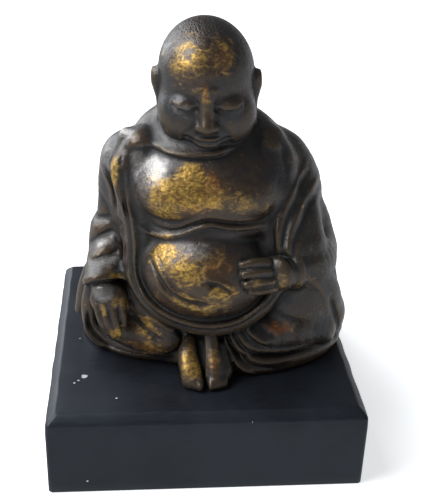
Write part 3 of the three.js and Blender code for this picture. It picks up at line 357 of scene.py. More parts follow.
# the robe, open down the front, its sleeves cut square at the cuffs and its turned-out flap
robe = {
    "back": egg((0, 5, 40), (27, 18.5, 32)),
    "shoulder": egg((17.4, 2, 56.8), (13.4, 11, 10.5)),
    "collar": limb([
        (-16.6, -5, 67.3, 2.4), (-13.2, 2, 69.4, 3.1), (0, 8.5, 72, 4), (13.2, 2, 69.8, 3.1),
        (16.6, -6, 68.8, 2.4)]),
    "seat": egg((0, 6, 10), (36, 19.5, 20)),
    "thickness": 1.7,
    "opening": smoothPath([
        (0, 67.4), (-6, 67), (-12, 67.2), (-18, 67.8), (-21.6, 66.4), (-22.2, 60), (-21.8, 53), (-20.4, 47),
        (-20, 40), (-20.2, 33), (-18.8, 28.3), (-15.6, 24.6), (-10.7, 22), (-4, 20.5), (2, 20.3), (8.6, 21.6),
        (14, 25), (18.2, 29.5), (20.2, 36), (19.6, 42), (18.9, 48), (19.3, 55), (20.6, 61), (18.4, 67),
        (12, 68.4), (6, 67.8)], 4, True),
    "lapel": limb([
        (-22.8, -5.5, 67.6, 2.2), (-24.2, -8.4, 59, 2.6), (-23.6, -11.6, 49, 2.6), (-22.9, -14.2, 38, 2.6),
        (-22.2, -17, 30.6, 2.4), (-19.2, -20.8, 25.6, 2.2), (-14, -24, 21.4, 2), (-7, -26.2, 18.9, 1.8),
        (0, -27, 17.9, 1.8), (7.2, -26.2, 18.8, 1.8), (14, -24, 21.8, 2), (19.4, -20.6, 27, 2.2),
        (22, -17, 34, 2.4), (21.6, -14, 43, 2.6), (21.4, -11.5, 53, 2.6), (22.4, -8, 62, 2.4),
        (19.4, -5, 68, 2.2)]),
    "ridges": ((0.9, 0.5, 0.75), (2.0, 0.6, -0.45), (3.2, 0.8, 0.15), (4.6, 0.9, -0.25)),
    "quietRight": ((2, 10), (44, 52)), "quietEdge": 3, "quietJoin": 4,
    "quietLeft": ((11, 16), (22, 32)), "quietThickness": 0.65,
    "front": (2, 8), "plain": 0.8, "plainRight": ((8, 15), (24, 32)), "plainTop": (49, 54),
    "plainFoot": (-26, -21), "footShare": 0.7, "flapEdge": (-0.4, 0.6),
    "flap": smoothPath([
        (-22.2, 68.6), (-25, 64.6), (-27.6, 59.8), (-26.8, 56), (-25.2, 52), (-23.4, 47), (-23.4, 54),
        (-23.2, 60)], 2, True),
    "flapRise": 1.8, "flapSlope": (22, 26),
    "kneeArm": limb([
        (-22.4, 2, 57, 9), (-24.2, 3, 50.5, 8.7), (-25.2, 2.5, 45, 8), (-26, 2, 41, 7.7),
        (-26.6, 1.8, 38, 7.3), (-27.8, 1.4, 33.8, 8.6), (-28.4, 0.8, 30, 8), (-28.6, 0, 27.5, 7.8)], 3),
    "kneeSleeve": limb([
        (-28.6, 0, 28.8, 8), (-29.3, -7, 28.2, 7.4), (-30, -13, 26.4, 6.8), (-30.6, -18, 24.6, 6.4),
        (-30.8, -23, 22.8, 6.2)], 3),
    "kneeCuff": ((-30.8, -16.85, 26.1), (2, -5.3, -8.2)),
    "bellyArm": limb([
        (21.5, 2, 58.5, 8.8), (24.6, 2, 52, 9.6), (26.6, 1.5, 45, 8.6), (28.8, 1, 38, 9.2),
        (30.4, 0, 31, 9)], 3),
    "bellySleeve": limb([
        (30.4, -2, 31, 9), (30, -9, 31.5, 8.8), (28, -15, 32.6, 7.8), (24.5, -19, 33.6, 6.3),
        (20, -24, 34.4, 5.5)], 3),
    "bellyCuff": ((22.2, -21, 34), (-9, -7, 1)),
    "cuffHem": 1.6, "hemWidth": 0.8, "hemRise": 0.35, "cutEdge": 0.6,
}


def past(plane, p):
    at, along = map(floats, plane)
    return (p - at) @ (along / np.linalg.norm(along))


def sleeved(arm, sleeve, cuff, soft, p):
    # the sleeve is cut square and has a raised hem along the cut
    over = past(robe[cuff], p)
    hem = robe["hemRise"] * bell(over, -robe["cuffHem"], robe["hemWidth"])
    return join(robe[arm](p), cut(robe[sleeve](p) - hem, -over, robe["cutEdge"]), soft)


def robed(p, bare):
    d = join(robe["back"](p), robe["shoulder"](mirrored(p)), 6)
    quiet, quietLeft, plainRight = (
        ramp(p[:, 0] * side, *robe[name][0]) * ramp(p[:, 2], *robe[name][1])
        for side, name in ((1, "quietRight"), (-1, "quietLeft"), (1, "plainRight")))
    thin = 1 - robe["quietThickness"] * np.maximum(quiet, quietLeft)
    d = join(d, bare - robe["thickness"] * thin, 2 + robe["quietJoin"] * quiet)
    for name, soft in (("collar", 5), ("lapel", 4), ("seat", 6)):
        d = join(d, robe[name](p), soft)
    arms = np.minimum(sleeved("kneeArm", "kneeSleeve", "kneeCuff", 2, p),
                      sleeved("bellyArm", "bellySleeve", "bellyCuff", 2.5, p))
    d = join(d, arms, 2.5)
    flat = p[:, [0, 2]]
    away = insideOutline(flat, robe["opening"])
    d = cut(d, np.maximum(away, p[:, 1] + 3), 1 + robe["quietEdge"] * quiet)
    front = ramp(-p[:, 1], *robe["front"])
    ridged = (1 - robe["plain"] * plainRight) * (1 - robe["plain"] * ramp(p[:, 2], *robe["plainTop"]))
    ridged *= 1 - robe["footShare"] * ramp(-p[:, 2], *robe["plainFoot"])
    for at, width, height in robe["ridges"]:
        d -= front * ridged * height * bell(away, at, width)
    slope = ramp(-p[:, 0], *robe["flapSlope"])
    return d - front * slope * robe["flapRise"] * ramp(-insideOutline(flat, robe["flap"]), *robe["flapEdge"])


# crossed legs under the robe, the hanging sleeves, and the hem that spreads on the plinth
lap = {
    "kneeUnderHand": limbs(2.4,
        [(-22, 3, 9, 11.5), (-30, -4, 8.5, 10)],
        [(-30, -8, 8.2, 8.6), (-22, -13.5, 8.2, 8), (-13.6, -17.5, 8, 6.4)],
        [(-24.5, -13.6, 21.5, 4), (-18.5, -16, 17.5, 4.4), (-12.5, -18, 12.6, 4)]),
    "legEnd": egg((-11.8, -19.8, 8.4), (2.6, 2.6, 3.8)),
    "otherKnee": together([
        limb([(24, 3, 10, 12.5), (31.6, -4, 10, 11)]),
        limb([(30.6, -9, 10.4, 9.6), (21, -16, 10.6, 8.2), (11, -20.5, 11, 6)]),
        egg((25, -15.6, 20.4), (8.4, 7.6, 9.6), (0, -26, 0))], 3),
    "middle": egg((0, -8, 7), (24, 15.5, 8.5)),
    "hanging": limbs(1.2,
        [(-35, -8, 25, 3), (-37.4, -7, 18, 3), (-40.2, -6, 10, 1.8)],
        [(-34.4, -13, 22, 3), (-35.8, -13, 15, 3), (-35.4, -12, 8, 3), (-33, -12, 3, 3)],
        [(34.8, -3, 26, 4.6), (37, -3, 16, 4.2), (39.4, -2, 7, 3.4), (40, -1, 3, 3)]),
    "wide": limbs(4,
        [(29, -16, 30, 7), (32.2, -13, 23, 7.4), (34, -10, 15, 7.6)],
        [(22.5, -11.4, 53, 3), (23.4, -14.6, 46, 4), (24, -17.6, 39.6, 4.6)],
        [(24, 0.6, 59.6, 3.6), (26, -3, 53, 5.4), (26.8, -7.4, 46, 6.6), (27.4, -12, 38.6, 7.2)]),
    "hem": limbs(1,
        [(-37, -4, 1.4, 3.2), (-33, -10, 1.4, 3), (-24, -15.4, 1.6, 2.8), (-14, -18.2, 2.4, 2.8),
         (-8, -21, 3, 2.6)],
        [(5, -22, 4, 4), (13, -22.4, 3, 4.2), (22, -19.6, 2.6, 4.2), (31, -14, 2.4, 4.2), (37.2, -6, 2, 3.8),
         (39.4, 0, 1.8, 3.2)]),
}


def lapped(p):
    # both knees, the lap between them, and the sleeves that hang over it
    d = np.minimum(join(lap["kneeUnderHand"](p), lap["legEnd"](p), 0.8), lap["otherKnee"](p))
    d = join(join(d, lap["middle"](p), 3), lap["wide"](p), 4)
    return join(d, lap["hanging"](p), 1)


# the folds of the cloth as lines of x and z, with their width and height
folds = {
    "lap": strokes(
        ([(3.2, 15), (6, 8.6), (9.2, 3.6), (14.6, 0)], 0.8, 1.1),
        ([(4.4, 14.6), (7.6, 8.4), (12.2, 3.8), (21, 1.8)], 0.6, -0.8),
        ([(5.2, 15), (9.3, 8.8), (15.2, 5.2), (25, 3.9)], 0.85, 1),
        ([(6.6, 15.4), (10.6, 9.8), (15.6, 7), (24, 5.8), (34, 5.6)], 0.65, -0.9),
        ([(8, 14.6), (11.8, 10), (17, 8.2), (24, 7.5), (32, 7.2)], 0.8, 0.6),
        ([(8.8, 16.4), (12.6, 12), (17, 9.8)], 0.7, -0.6), ([(9.6, 18), (13.9, 13.4), (18, 10.8)], 0.85, 0.9),
        ([(11.8, 18.6), (16, 14.8), (20, 12.6)], 0.9, -0.4),
        ([(-37.6, 15), (-37.6, 7.8), (-33.6, 2.6), (-25, 0.8)], 0.7, 0.6),
        ([(-36.4, 16), (-36.2, 8.4), (-32, 3.8), (-23, 2.4), (-15, 3.4)], 0.6, -0.8),
        ([(-35.2, 16), (-34.8, 9), (-30.6, 5), (-22, 3.8), (-14, 4.8)], 0.7, 0.6),
        ([(-34.2, 15.6), (-33.2, 9.6), (-29.2, 6.4), (-22, 5.4)], 0.6, -0.6),
        ([(-23, 15.5), (-17.5, 11.6), (-13, 9.4)], 0.8, -0.6),
        ([(-21, 18.4), (-15, 15.6), (-10, 12.4)], 0.9, 0.6),
        ([(-18, 20.6), (-12, 17.2), (-6, 15.4)], 0.7, -0.6),
        ([(-13.4, 5), (-9.4, 6.2), (-7.8, 10), (-10, 13)], 0.7, -0.8),
    ),
    "sleeves": strokes(
        ([(29.6, 61), (26.4, 57.4), (22.6, 52), (20.8, 46.6), (20.4, 40)], 0.9, 0.4),
        ([(30.4, 59), (26.8, 55), (23.2, 49.6), (21.8, 43.6), (21.8, 37)], 0.8, -0.3),
        ([(34.2, 56.2), (29, 52.8), (24.7, 47.6), (22.6, 41.6), (22.2, 36)], 1, 0.5),
        ([(34.6, 53.6), (29.8, 50.2), (26, 45.4), (24.2, 40), (24, 36)], 0.9, -0.3),
        ([(21.2, 51.6), (20.2, 48), (19.8, 45)], 0.6, 0.3),
        ([(-31.5, 58), (-28.6, 51.5), (-28, 45)], 0.8, 0.5),
        ([(-29.6, 57), (-27, 51), (-26.6, 45)], 0.7, -0.5),
        ([(-33.5, 50), (-30, 44.5), (-29, 41)], 0.8, -0.4),
        ([(-25.6, 46), (-24.6, 42), (-24.2, 37), (-23.8, 31)], 0.9, -0.8),
        ([(-36.4, 38.8), (-32.7, 39.7), (-31.1, 40.8), (-28.6, 42)], 0.9, -0.7),
        ([(-35.6, 35.3), (-32.8, 37.8), (-31.1, 39.2), (-28.6, 40)], 1.2, 0.4),
        ([(-36.5, 31.4), (-33.9, 33.8), (-32.2, 35.5), (-30.3, 36.6), (-27.8, 38)], 0.8, -0.8),
        ([(-35, 32.6), (-32, 34.5), (-30.2, 35.1), (-27.6, 35.9)], 0.8, 0.5),
        ([(-36, 30.2), (-32.3, 32), (-30.5, 32.7), (-28.7, 33), (-26.4, 33.6)], 0.7, -0.8),
        ([(-35, 29.4), (-31, 31), (-29, 31.3), (-26.6, 31.9)], 0.8, 0.4),
        ([(26, 35), (31, 30.5), (34.6, 24), (36, 17)], 1, 0.25),
        ([(28, 36), (33, 30.6), (37, 24)], 0.9, -0.2),
        ([(36, 25), (37, 20.4), (38.6, 14.6), (39.6, 8.6), (39.6, 2)], 0.8, -0.9),
    ),
    "back": strokes(
        ([(-22, 62), (-10, 50), (8, 36), (24, 20)], 1.2, 0.9),
        ([(-24, 55), (-14, 43), (4, 29), (20, 13)], 1.2, -0.7),
        ([(-25, 46), (-16, 34), (0, 21), (12, 8)], 1.1, 0.8),
        ([(-24.5, 50.5), (-15, 38.4), (2, 25), (16, 10)], 0.8, 0.4),
        ([(20, 62), (16, 52), (17, 42)], 1.1, -0.7), ([(24, 56), (22, 46), (24, 36)], 1.1, 0.7),
        ([(-24, 34), (-18, 22), (-8, 10)], 1.1, -0.7), ([(-16, 68.5), (0, 67), (16, 68.5)], 0.9, -0.9),
        ([(-17, 66.6), (0, 65), (17, 66.6)], 0.9, 0.5),
    ),
}


def folded(p):
    # the folds of the lap lie in front and low, those of the sleeves in front and the others behind
    height = ramp(-p[:, 1], 6, 12) * ramp(-p[:, 2], -17.5, -14.5) * summed(folds["lap"], p)
    height += ramp(-p[:, 1], -4, 4) * summed(folds["sleeves"], p)
    return height + ramp(p[:, 1], 2, 9) * summed(folds["back"], p)


# the hands and the bare feet
hands = {
    "onKnee": [
        egg((-29.8, -18.2, 21.8), (5.7, 3.4, 5.2), (-48, -26, 0)),
        limb([(-31, -13, 24, 4.6), (-30.4, -16.6, 23.2, 4.4)]),
        limb([(-32.8, -20.6, 19.8, 1.2), (-31.6, -22.6, 16, 1.15), (-29.8, -23.4, 12.6, 0.85)]),
        limb([(-30.6, -21.2, 20.5, 1.25), (-29.6, -23.3, 16, 1.2), (-28, -24, 11.7, 0.9)]),
        limb([(-28, -21.4, 21, 1.25), (-27.4, -23.3, 16.5, 1.2), (-26.4, -24, 12.2, 0.9)]),
        limb([(-25.6, -20.8, 21.4, 1.2), (-25.1, -22.5, 17.8, 1.1), (-24.9, -22.9, 14.6, 0.85)]),
        limb([(-25.4, -18.4, 22.6, 1.3), (-24.1, -20.6, 19.6, 1.05)]),
    ],
    "onBelly": [
        egg((20, -24.4, 34.2), (5, 2.8, 5.3), (0, 0, -38)),
        limb([(25, -20, 33.6, 5.2), (21.8, -22.6, 33.9, 4.8)]),
        limb([(16.9, -25.2, 38, 1.55), (13.2, -26.9, 38.9, 1.45), (9.9, -27.6, 38.4, 1.15)]),
        limb([(17.3, -26.3, 35.8, 1.6), (13.6, -28.2, 36.5, 1.5), (10.2, -29.1, 36.1, 1.2)]),
        limb([(17.9, -26.8, 33.2, 1.6), (14.2, -29, 33.8, 1.5), (10.9, -30, 33.4, 1.2)]),
        limb([(18.6, -26.4, 30.7, 1.5), (15.2, -28.6, 31, 1.35), (12.2, -29.9, 31.2, 1.1)]),
    ],
    "web": 0.55,
}
feet = {
    "left": limb([(-5.6, -23, 9.4, 2.2), (-6.3, -26.6, 7, 3.1), (-5.5, -29.6, 4, 3.3), (-4.9, -31, 2.2, 3)]),
    "right": limb([(0.6, -23.6, 14.6, 1.6), (1, -26, 9.6, 2.2), (1.6, -29.4, 4.8, 2.6), (1.8, -31, 2, 2.6)]),
    "behind": limbs(1,
        [(3.6, -24, 8.6, 2.2), (4.2, -28.2, 3, 2.8)],
        [(-2, -21.6, 8, 2.6), (-1.8, -25.6, 3, 2.6)]),
    "edge": line([(-1, -24.6, 14), (-0.9, -28.4, 8), (-0.8, -31.6, 3.4)], 0.6), "edgeRise": 0.5,
    "toes": 4, "toeTilt": (20, 0, 0), "web": 1.3,
}


def makeFeet():
    forms = [feet["left"], feet["right"], feet["behind"]]
    for k in range(feet["toes"]):
        forms.append(egg((-7.1 + 1.5 * k, -31.7 - 0.65 * k, 1.7), (0.95, 2.1, 1.5), feet["toeTilt"]))
        forms.append(egg((0.5 + 1.4 * k, -33.1 + 0.6 * k, 1.6), (0.9, 2.1, 1.4), feet["toeTilt"]))
    whole = together(forms, feet["web"])
    return near(whole.low, whole.high, lambda p: whole(p) - feet["edgeRise"] * feet["edge"](p))


bareParts = [together(hands[k], hands["web"]) for k in ("onKnee", "onBelly")] + [makeFeet(), makeHead()]


def budai(p):
    bare = bareBody(p)
    d = join(bare, robed(p, bare), 1.2)
    d = join(d, lapped(p), 1 + 2.5 * ramp(p[:, 0], 14, 18) * ramp(p[:, 2], 36, 42))
    d = join(d, lap["hem"](p), 0.7)
    d -= folded(p)
    for form in bareParts:
        d = join(d, form(p), clay["joint"])
    return d


# the skin of the clay: the fine mesh that stands for the cast figure
cast = {
    "height": 101.87, "turn": -4.0, "shift": 0.0042, "lean": 0.04, "cell": 0.5, "quickCell": 0.9,
    "from": (-44, -38, -2), "to": (48, 27, 104), "block": 4, "slack": 1.3, "batch": 200000,
    "settling": 2, "farthestMove": 0.5, "probe": 0.05, "flattest": 0.3, "faces": 196000, "underside": 0.2,
}


def inBatches(work, places):
    parts = np.array_split(places, 1 + len(places) // cast["batch"])
    return np.concatenate([work(part.astype(np.float32)) for part in parts])


def skinOf(field, low, high, cell):
    # only the blocks of samples that the skin may pass through are looked at closely
    step = cast["block"]
    low = np.array(low, np.float32)
    blocks = np.ceil((np.array(high) - low) / cell / step).astype(int)
    counts = blocks * step
    coarse = np.indices(blocks).reshape(3, -1).T * step + step // 2
    middle = inBatches(lambda part: field(low + part * cell), coarse).reshape(blocks)
    wanted = np.zeros(counts + 1, bool)
    values = np.ones(counts + 1, np.float32)
    for axis in range(3):
        middle = np.repeat(middle, step, axis)
    close = np.abs(middle) < cell * step * cast["slack"]
    values[:-1, :-1, :-1] = np.where(middle < 0, -1, 1)
    for i, j, k in np.ndindex(2, 2, 2):
        wanted[i:i + counts[0], j:j + counts[1], k:k + counts[2]] |= close
    values[wanted] = inBatches(lambda part: field(low + part * cell), np.argwhere(wanted))
    return values


def nets(values, low, cell):
    # one point in each cube that the skin passes through, and a face across each edge that it crosses
    inside = values < 0
    cubes = [s - 1 for s in values.shape]
    corners = list(np.ndindex(2, 2, 2))
    full = sum(inside[i:i + cubes[0], j:j + cubes[1], k:k + cubes[2]].astype(np.int8) for i, j, k in corners)
    at = np.argwhere((full > 0) & (full < 8))
    number = np.full(cubes, -1)
    number[tuple(at.T)] = np.arange(len(at))
    total, hits = np.zeros((len(at), 3)), np.zeros(len(at))
    for corner in corners:
        for axis in range(3):
            if corner[axis]:
                continue
            other = np.array(corner) + np.eye(3, dtype=int)[axis]
            a, b = values[tuple((at + corner).T)], values[tuple((at + other).T)]
            crossed = (a < 0) != (b < 0)
            share = np.where(crossed, a / np.where(crossed, a - b, 1), 0)
            total += (np.array(corner) + np.eye(3)[axis] * share[:, None]) * crossed[:, None]
            hits += crossed
    points = np.array(low) + (at + total / hits[:, None]) * cell
    faces = []
    for axis in range(3):
        u, v = (k for k in range(3) if k != axis)
        first, second = [slice(None)] * 3, [slice(None)] * 3
        first[axis], second[axis] = slice(0, -1), slice(1, None)
        edge = np.argwhere(inside[tuple(first)] != inside[tuple(second)])
        ring = []
        for du, dv in ((-1, -1), (0, -1), (0, 0), (-1, 0)):
            offset = np.zeros(3, int)
            offset[u], offset[v] = du, dv
            ring.append(number[tuple((edge + offset).T)])
        ring = np.stack(ring, -1)
        forward = inside[tuple(edge.T)] != (axis == 1)
        faces.append(np.where(forward[:, None], ring, ring[:, ::-1]))
    return points, np.concatenate(faces)


def outerSkin(points, faces):
    # leaves out the skins of hollows that are closed inside the clay
    shell = np.arange(len(points))
    while True:
        lowest = shell[faces].min(1)
        joined = shell.copy()
        for corner in faces.T:
            np.minimum.at(joined, corner, lowest)
            np.minimum.at(joined, shell[corner], lowest)
        joined = joined[joined]
        if (joined == shell).all():
            break
        shell = joined
    kept = shell == np.bincount(shell).argmax()
    number = np.cumsum(kept) - 1
    return points[kept], number[faces[kept[faces[:, 0]]]]


def settle(field, points):
    # every point moves onto the true skin
    probes = floats([(1, -1, -1), (-1, -1, 1), (-1, 1, -1), (1, 1, 1)])
    reach, most = cast["probe"], cast["farthestMove"]

    def moved(part):
        samples = [field(part + probe * reach) for probe in probes]
        slope = sum(s[:, None] * probe for s, probe in zip(samples, probes)) / (4 * reach)
        step = sum(samples) / 4 / np.maximum(squared(slope), cast["flattest"])
        return part - np.clip(step, -most, most)[:, None] * slope

    for _ in range(cast["settling"]):
        points = inBatches(moved, points)
    return points


def meshOf(name, points, faces):
    mesh = bpy.data.meshes.new(name)
    mesh.from_pydata([], [], [])
    mesh.vertices.add(len(points))
    mesh.vertices.foreach_set("co", points.astype(np.float32).ravel())
    mesh.loops.add(faces.size)
    mesh.loops.foreach_set("vertex_index", faces.astype(np.int32).ravel())
    mesh.polygons.add(len(faces))
    mesh.polygons.foreach_set("loop_start", np.arange(len(faces), dtype=np.int32) * faces.shape[1])
    mesh.update(calc_edges=True)
    mesh.validate()
    mesh.shade_smooth()
    return mesh


def thin(piece, ratio):
    # fewer faces, most of them where the shape needs them
    piece.modifiers.new("fewer", "DECIMATE").ratio = ratio
    made = bpy.data.meshes.new_from_object(piece.evaluated_get(bpy.context.evaluated_depsgraph_get()))
    piece.modifiers.clear()
    piece.data = made
    made.shade_smooth()


def standing():
    # the figure's seat and the length in metres of a hundredth of its height
    low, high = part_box("figure")
    return low.z, (high.z - low.z) / cast["height"], math.radians(cast["turn"])


def toFrame(points):
    # from hundredths of the figure's height to metres on the plinth
    seat, unit, angle = standing()
    x, y, z = (points[:, 0] - cast["lean"] * points[:, 2]) * unit, points[:, 1] * unit, points[:, 2] * unit
    return np.stack([math.cos(angle) * x - math.sin(angle) * y + cast["shift"],
                     math.sin(angle) * x + math.cos(angle) * y,
                     np.maximum(z, -cast["underside"] * unit) + seat], -1)


def fromFrame(points):
    seat, unit, angle = standing()
    x, y, z = points[:, 0] - cast["shift"], points[:, 1], (points[:, 2] - seat) / unit
    return np.stack([(math.cos(angle) * x + math.sin(angle) * y) / unit + cast["lean"] * z,
                     (math.cos(angle) * y - math.sin(angle) * x) / unit, z], -1)


def makeFigure():
    cell = cast["cell"]

    def seated(p):
        return np.maximum(budai(p), -cast["underside"] - p[:, 2])

    values = skinOf(seated, cast["from"], cast["to"], cell)
    print("the figure's clay is sampled")
    points, faces = outerSkin(*nets(values, cast["from"], cell))
    points = settle(seated, points)
    print("the figure's skin has", len(faces), "faces")
    piece = linked("figureCast", meshOf("figureCast", toFrame(points), faces))
    triangles = 2 * len(faces)
    if triangles > cast["faces"]:
        thin(piece, cast["faces"] / triangles)
    return piece


figure = makeFigure()
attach(figure, "root")
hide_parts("figure")
print("the figure is cast,", len(figure.data.polygons), "faces")

# the plinth: rings of points from its underside up over the bevel to its middle, in metres
plinth = {
    "bevelInset": 0.0034, "bevelDrop": 0.003, "cornerRadius": 0.0016, "footSoftening": 0.0005, "worn": 0.0005,
    "cornerSteps": 8, "sideSteps": 60, "wallRings": 9, "topRings": 9, "sharp": 50, "middle": 0.001,
    "waviness": 0.00007, "waves": (((310, 190, 260), 0.4), ((-150, 420, 90), 1.9), ((520, -330, 400), 3.1)),
}


def aroundPlinth(inset, z, low, high):
    radius, steps = plinth["cornerRadius"], plinth["cornerSteps"]
    points = []
    for k, signs in enumerate(((1, -1), (1, 1), (-1, 1), (-1, -1))):
        x, y = ((high if s > 0 else low)[n] - s * (inset + radius) for n, s in enumerate(signs))
        for a in np.linspace(0, math.pi / 2, steps + 1) + (k - 1) * math.pi / 2:
            points.append((x + radius * math.cos(a), y + radius * math.sin(a), z))
    points = np.array(points)
    ring = []
    for k in range(4):
        corner = points[k * (steps + 1):(k + 1) * (steps + 1)]
        after = points[((k + 1) * (steps + 1)) % len(points)]
        share = np.linspace(0, 1, plinth["sideSteps"] + 1)[1:-1, None]
        ring += [corner, corner[-1] * (1 - share) + after * share]
    return np.concatenate(ring)


def makePlinth():
    # each edge is rounded in a few steps by wear, and then waves a little
    low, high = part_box("plinth")
    soft, worn, inset, drop = (plinth[k] for k in ("footSoftening", "worn", "bevelInset", "bevelDrop"))
    top, edge = high.z, high.z - drop
    profile = [(soft, 0), (soft * 0.3, soft * 0.3), (0, soft)]
    profile += [(0, z) for z in np.linspace(soft, edge - worn, plinth["wallRings"])[1:]]
    profile += [(worn * 0.08, edge - worn * 0.45), (worn * 0.4, edge + worn * 0.2)]
    profile += [(inset * t, edge + drop * t) for t in (0.3, 0.5, 0.7)]
    profile += [(inset - worn * 0.5, top - worn * 0.36), (inset + worn * 0.1, top - worn * 0.1)]
    profile += [(inset + worn, top)]
    widest = min(high.x, high.y) - plinth["cornerRadius"] - plinth["middle"]
    profile += [(t, top) for t in np.linspace(inset + worn, widest, plinth["topRings"])[1:]]
    rings = [aroundPlinth(t, z, low, high) for t, z in profile]
    count = len(rings[0])
    points = np.concatenate(rings + [[(0, 0, 0), (0, 0, top)]])
    wave = sum(np.sin(points @ np.array(way) + phase) for way, phase in plinth["waves"])
    outside = np.abs(points[:, :2]).max(1) > high.x - inset - 2 * worn
    atEdge = bell(points[:, 2], edge, worn * 2) + bell(points[:, 2], top, worn * 2) * outside
    points[:, :2] *= (1 - atEdge * plinth["waviness"] * (3 + wave) / high.x)[:, None]
    k = np.arange(count)
    after = (k + 1) % count
    faces = [np.stack([r * count + k, r * count + after, (r + 1) * count + after, (r + 1) * count + k], -1)
             for r in range(len(rings) - 1)]
    last = (len(rings) - 1) * count
    caps = np.concatenate([np.stack([after, k, np.full(count, len(points) - 2)], -1),
                           np.stack([last + k, last + after, np.full(count, len(points) - 1)], -1)])
    quads = np.concatenate(faces)
    triangles = np.concatenate([quads[:, [0, 1, 2]], quads[:, [0, 2, 3]], caps])
    piece = linked("plinthBlock", meshOf("plinthBlock", points, triangles))
    piece.data.set_sharp_from_angle(angle=math.radians(plinth["sharp"]))
    return piece


block = makePlinth()
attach(block, "root")
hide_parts("plinth")
print("the plinth is made,", len(block.data.polygons), "faces")


class Value:
    # wraps a socket, so that shader maths is written as sums
    def __init__(self, tree, socket=None):
        self.tree, self.socket = tree, socket

    def node(self, kind, settings={}, inputs={}, output=0):
        made = self.tree.nodes.new("ShaderNode" + kind)
        for key, value in settings.items():
            setattr(made, key, value)
        for key, value in inputs.items():
            if isinstance(value, Value):
                self.tree.links.new(value.socket, made.inputs[key])
            else:
                made.inputs[key].default_value = value
        return Value(self.tree, made.outputs[output])

    def sum(self, operation, *values):
        return self.node("Math", {"operation": operation}, dict(enumerate(values)))

    def __add__(self, other):
        return self.sum("ADD", self, other)

    def __sub__(self, other):
        return self.sum("SUBTRACT", self, other)

    def __mul__(self, other):
        return self.sum("MULTIPLY", self, other)

    def __rsub__(self, other):
        return self.sum("SUBTRACT", other, self)

    __radd__, __rmul__ = __add__, __mul__

    def most(self, other):
        return self.sum("MAXIMUM", self, other)

    def rise(self, low, high):
        return self.node("MapRange", {"interpolation_type": "SMOOTHSTEP"},
                         {"Value": self, "From Min": low, "From Max": high})

    def noise(self, scale, detail=3, roughness=0.55, distortion=0):
        return self.node("TexNoise", inputs={"Vector": self, "Scale": scale, "Detail": detail,
                                             "Roughness": roughness, "Distortion": distortion})

    def between(self, dark, light):
        # this value as the share of the light colour in the dark one
        ends = (colour if isinstance(colour, Value) else (*colour, 1) for colour in (dark, light))
        return self.node("Mix", {"data_type": "RGBA"}, {0: self, **dict(zip((6, 7), ends))}, 2)

    def tint(self, other, share):
        # this colour, going over to the other one by a share
        return share.between(self, other)


def material(piece, name, constants):
    # the constants go on the shader's own sockets; what varies over the surface is fed later
    made = bpy.data.materials.new(name)
    made.use_nodes = True
    shader = made.node_tree.nodes["Principled BSDF"]
    for key, value in constants.items():
        shader.inputs[key].default_value = value
    piece.data.materials.clear()
    piece.data.materials.append(made)
    tree = Value(made.node_tree)

    def feed(**links):
        for key, value in links.items():
            made.node_tree.links.new(value.socket, shader.inputs[key.replace("_", " ")])

    return tree, tree.node("TexCoord", output="Object"), feed


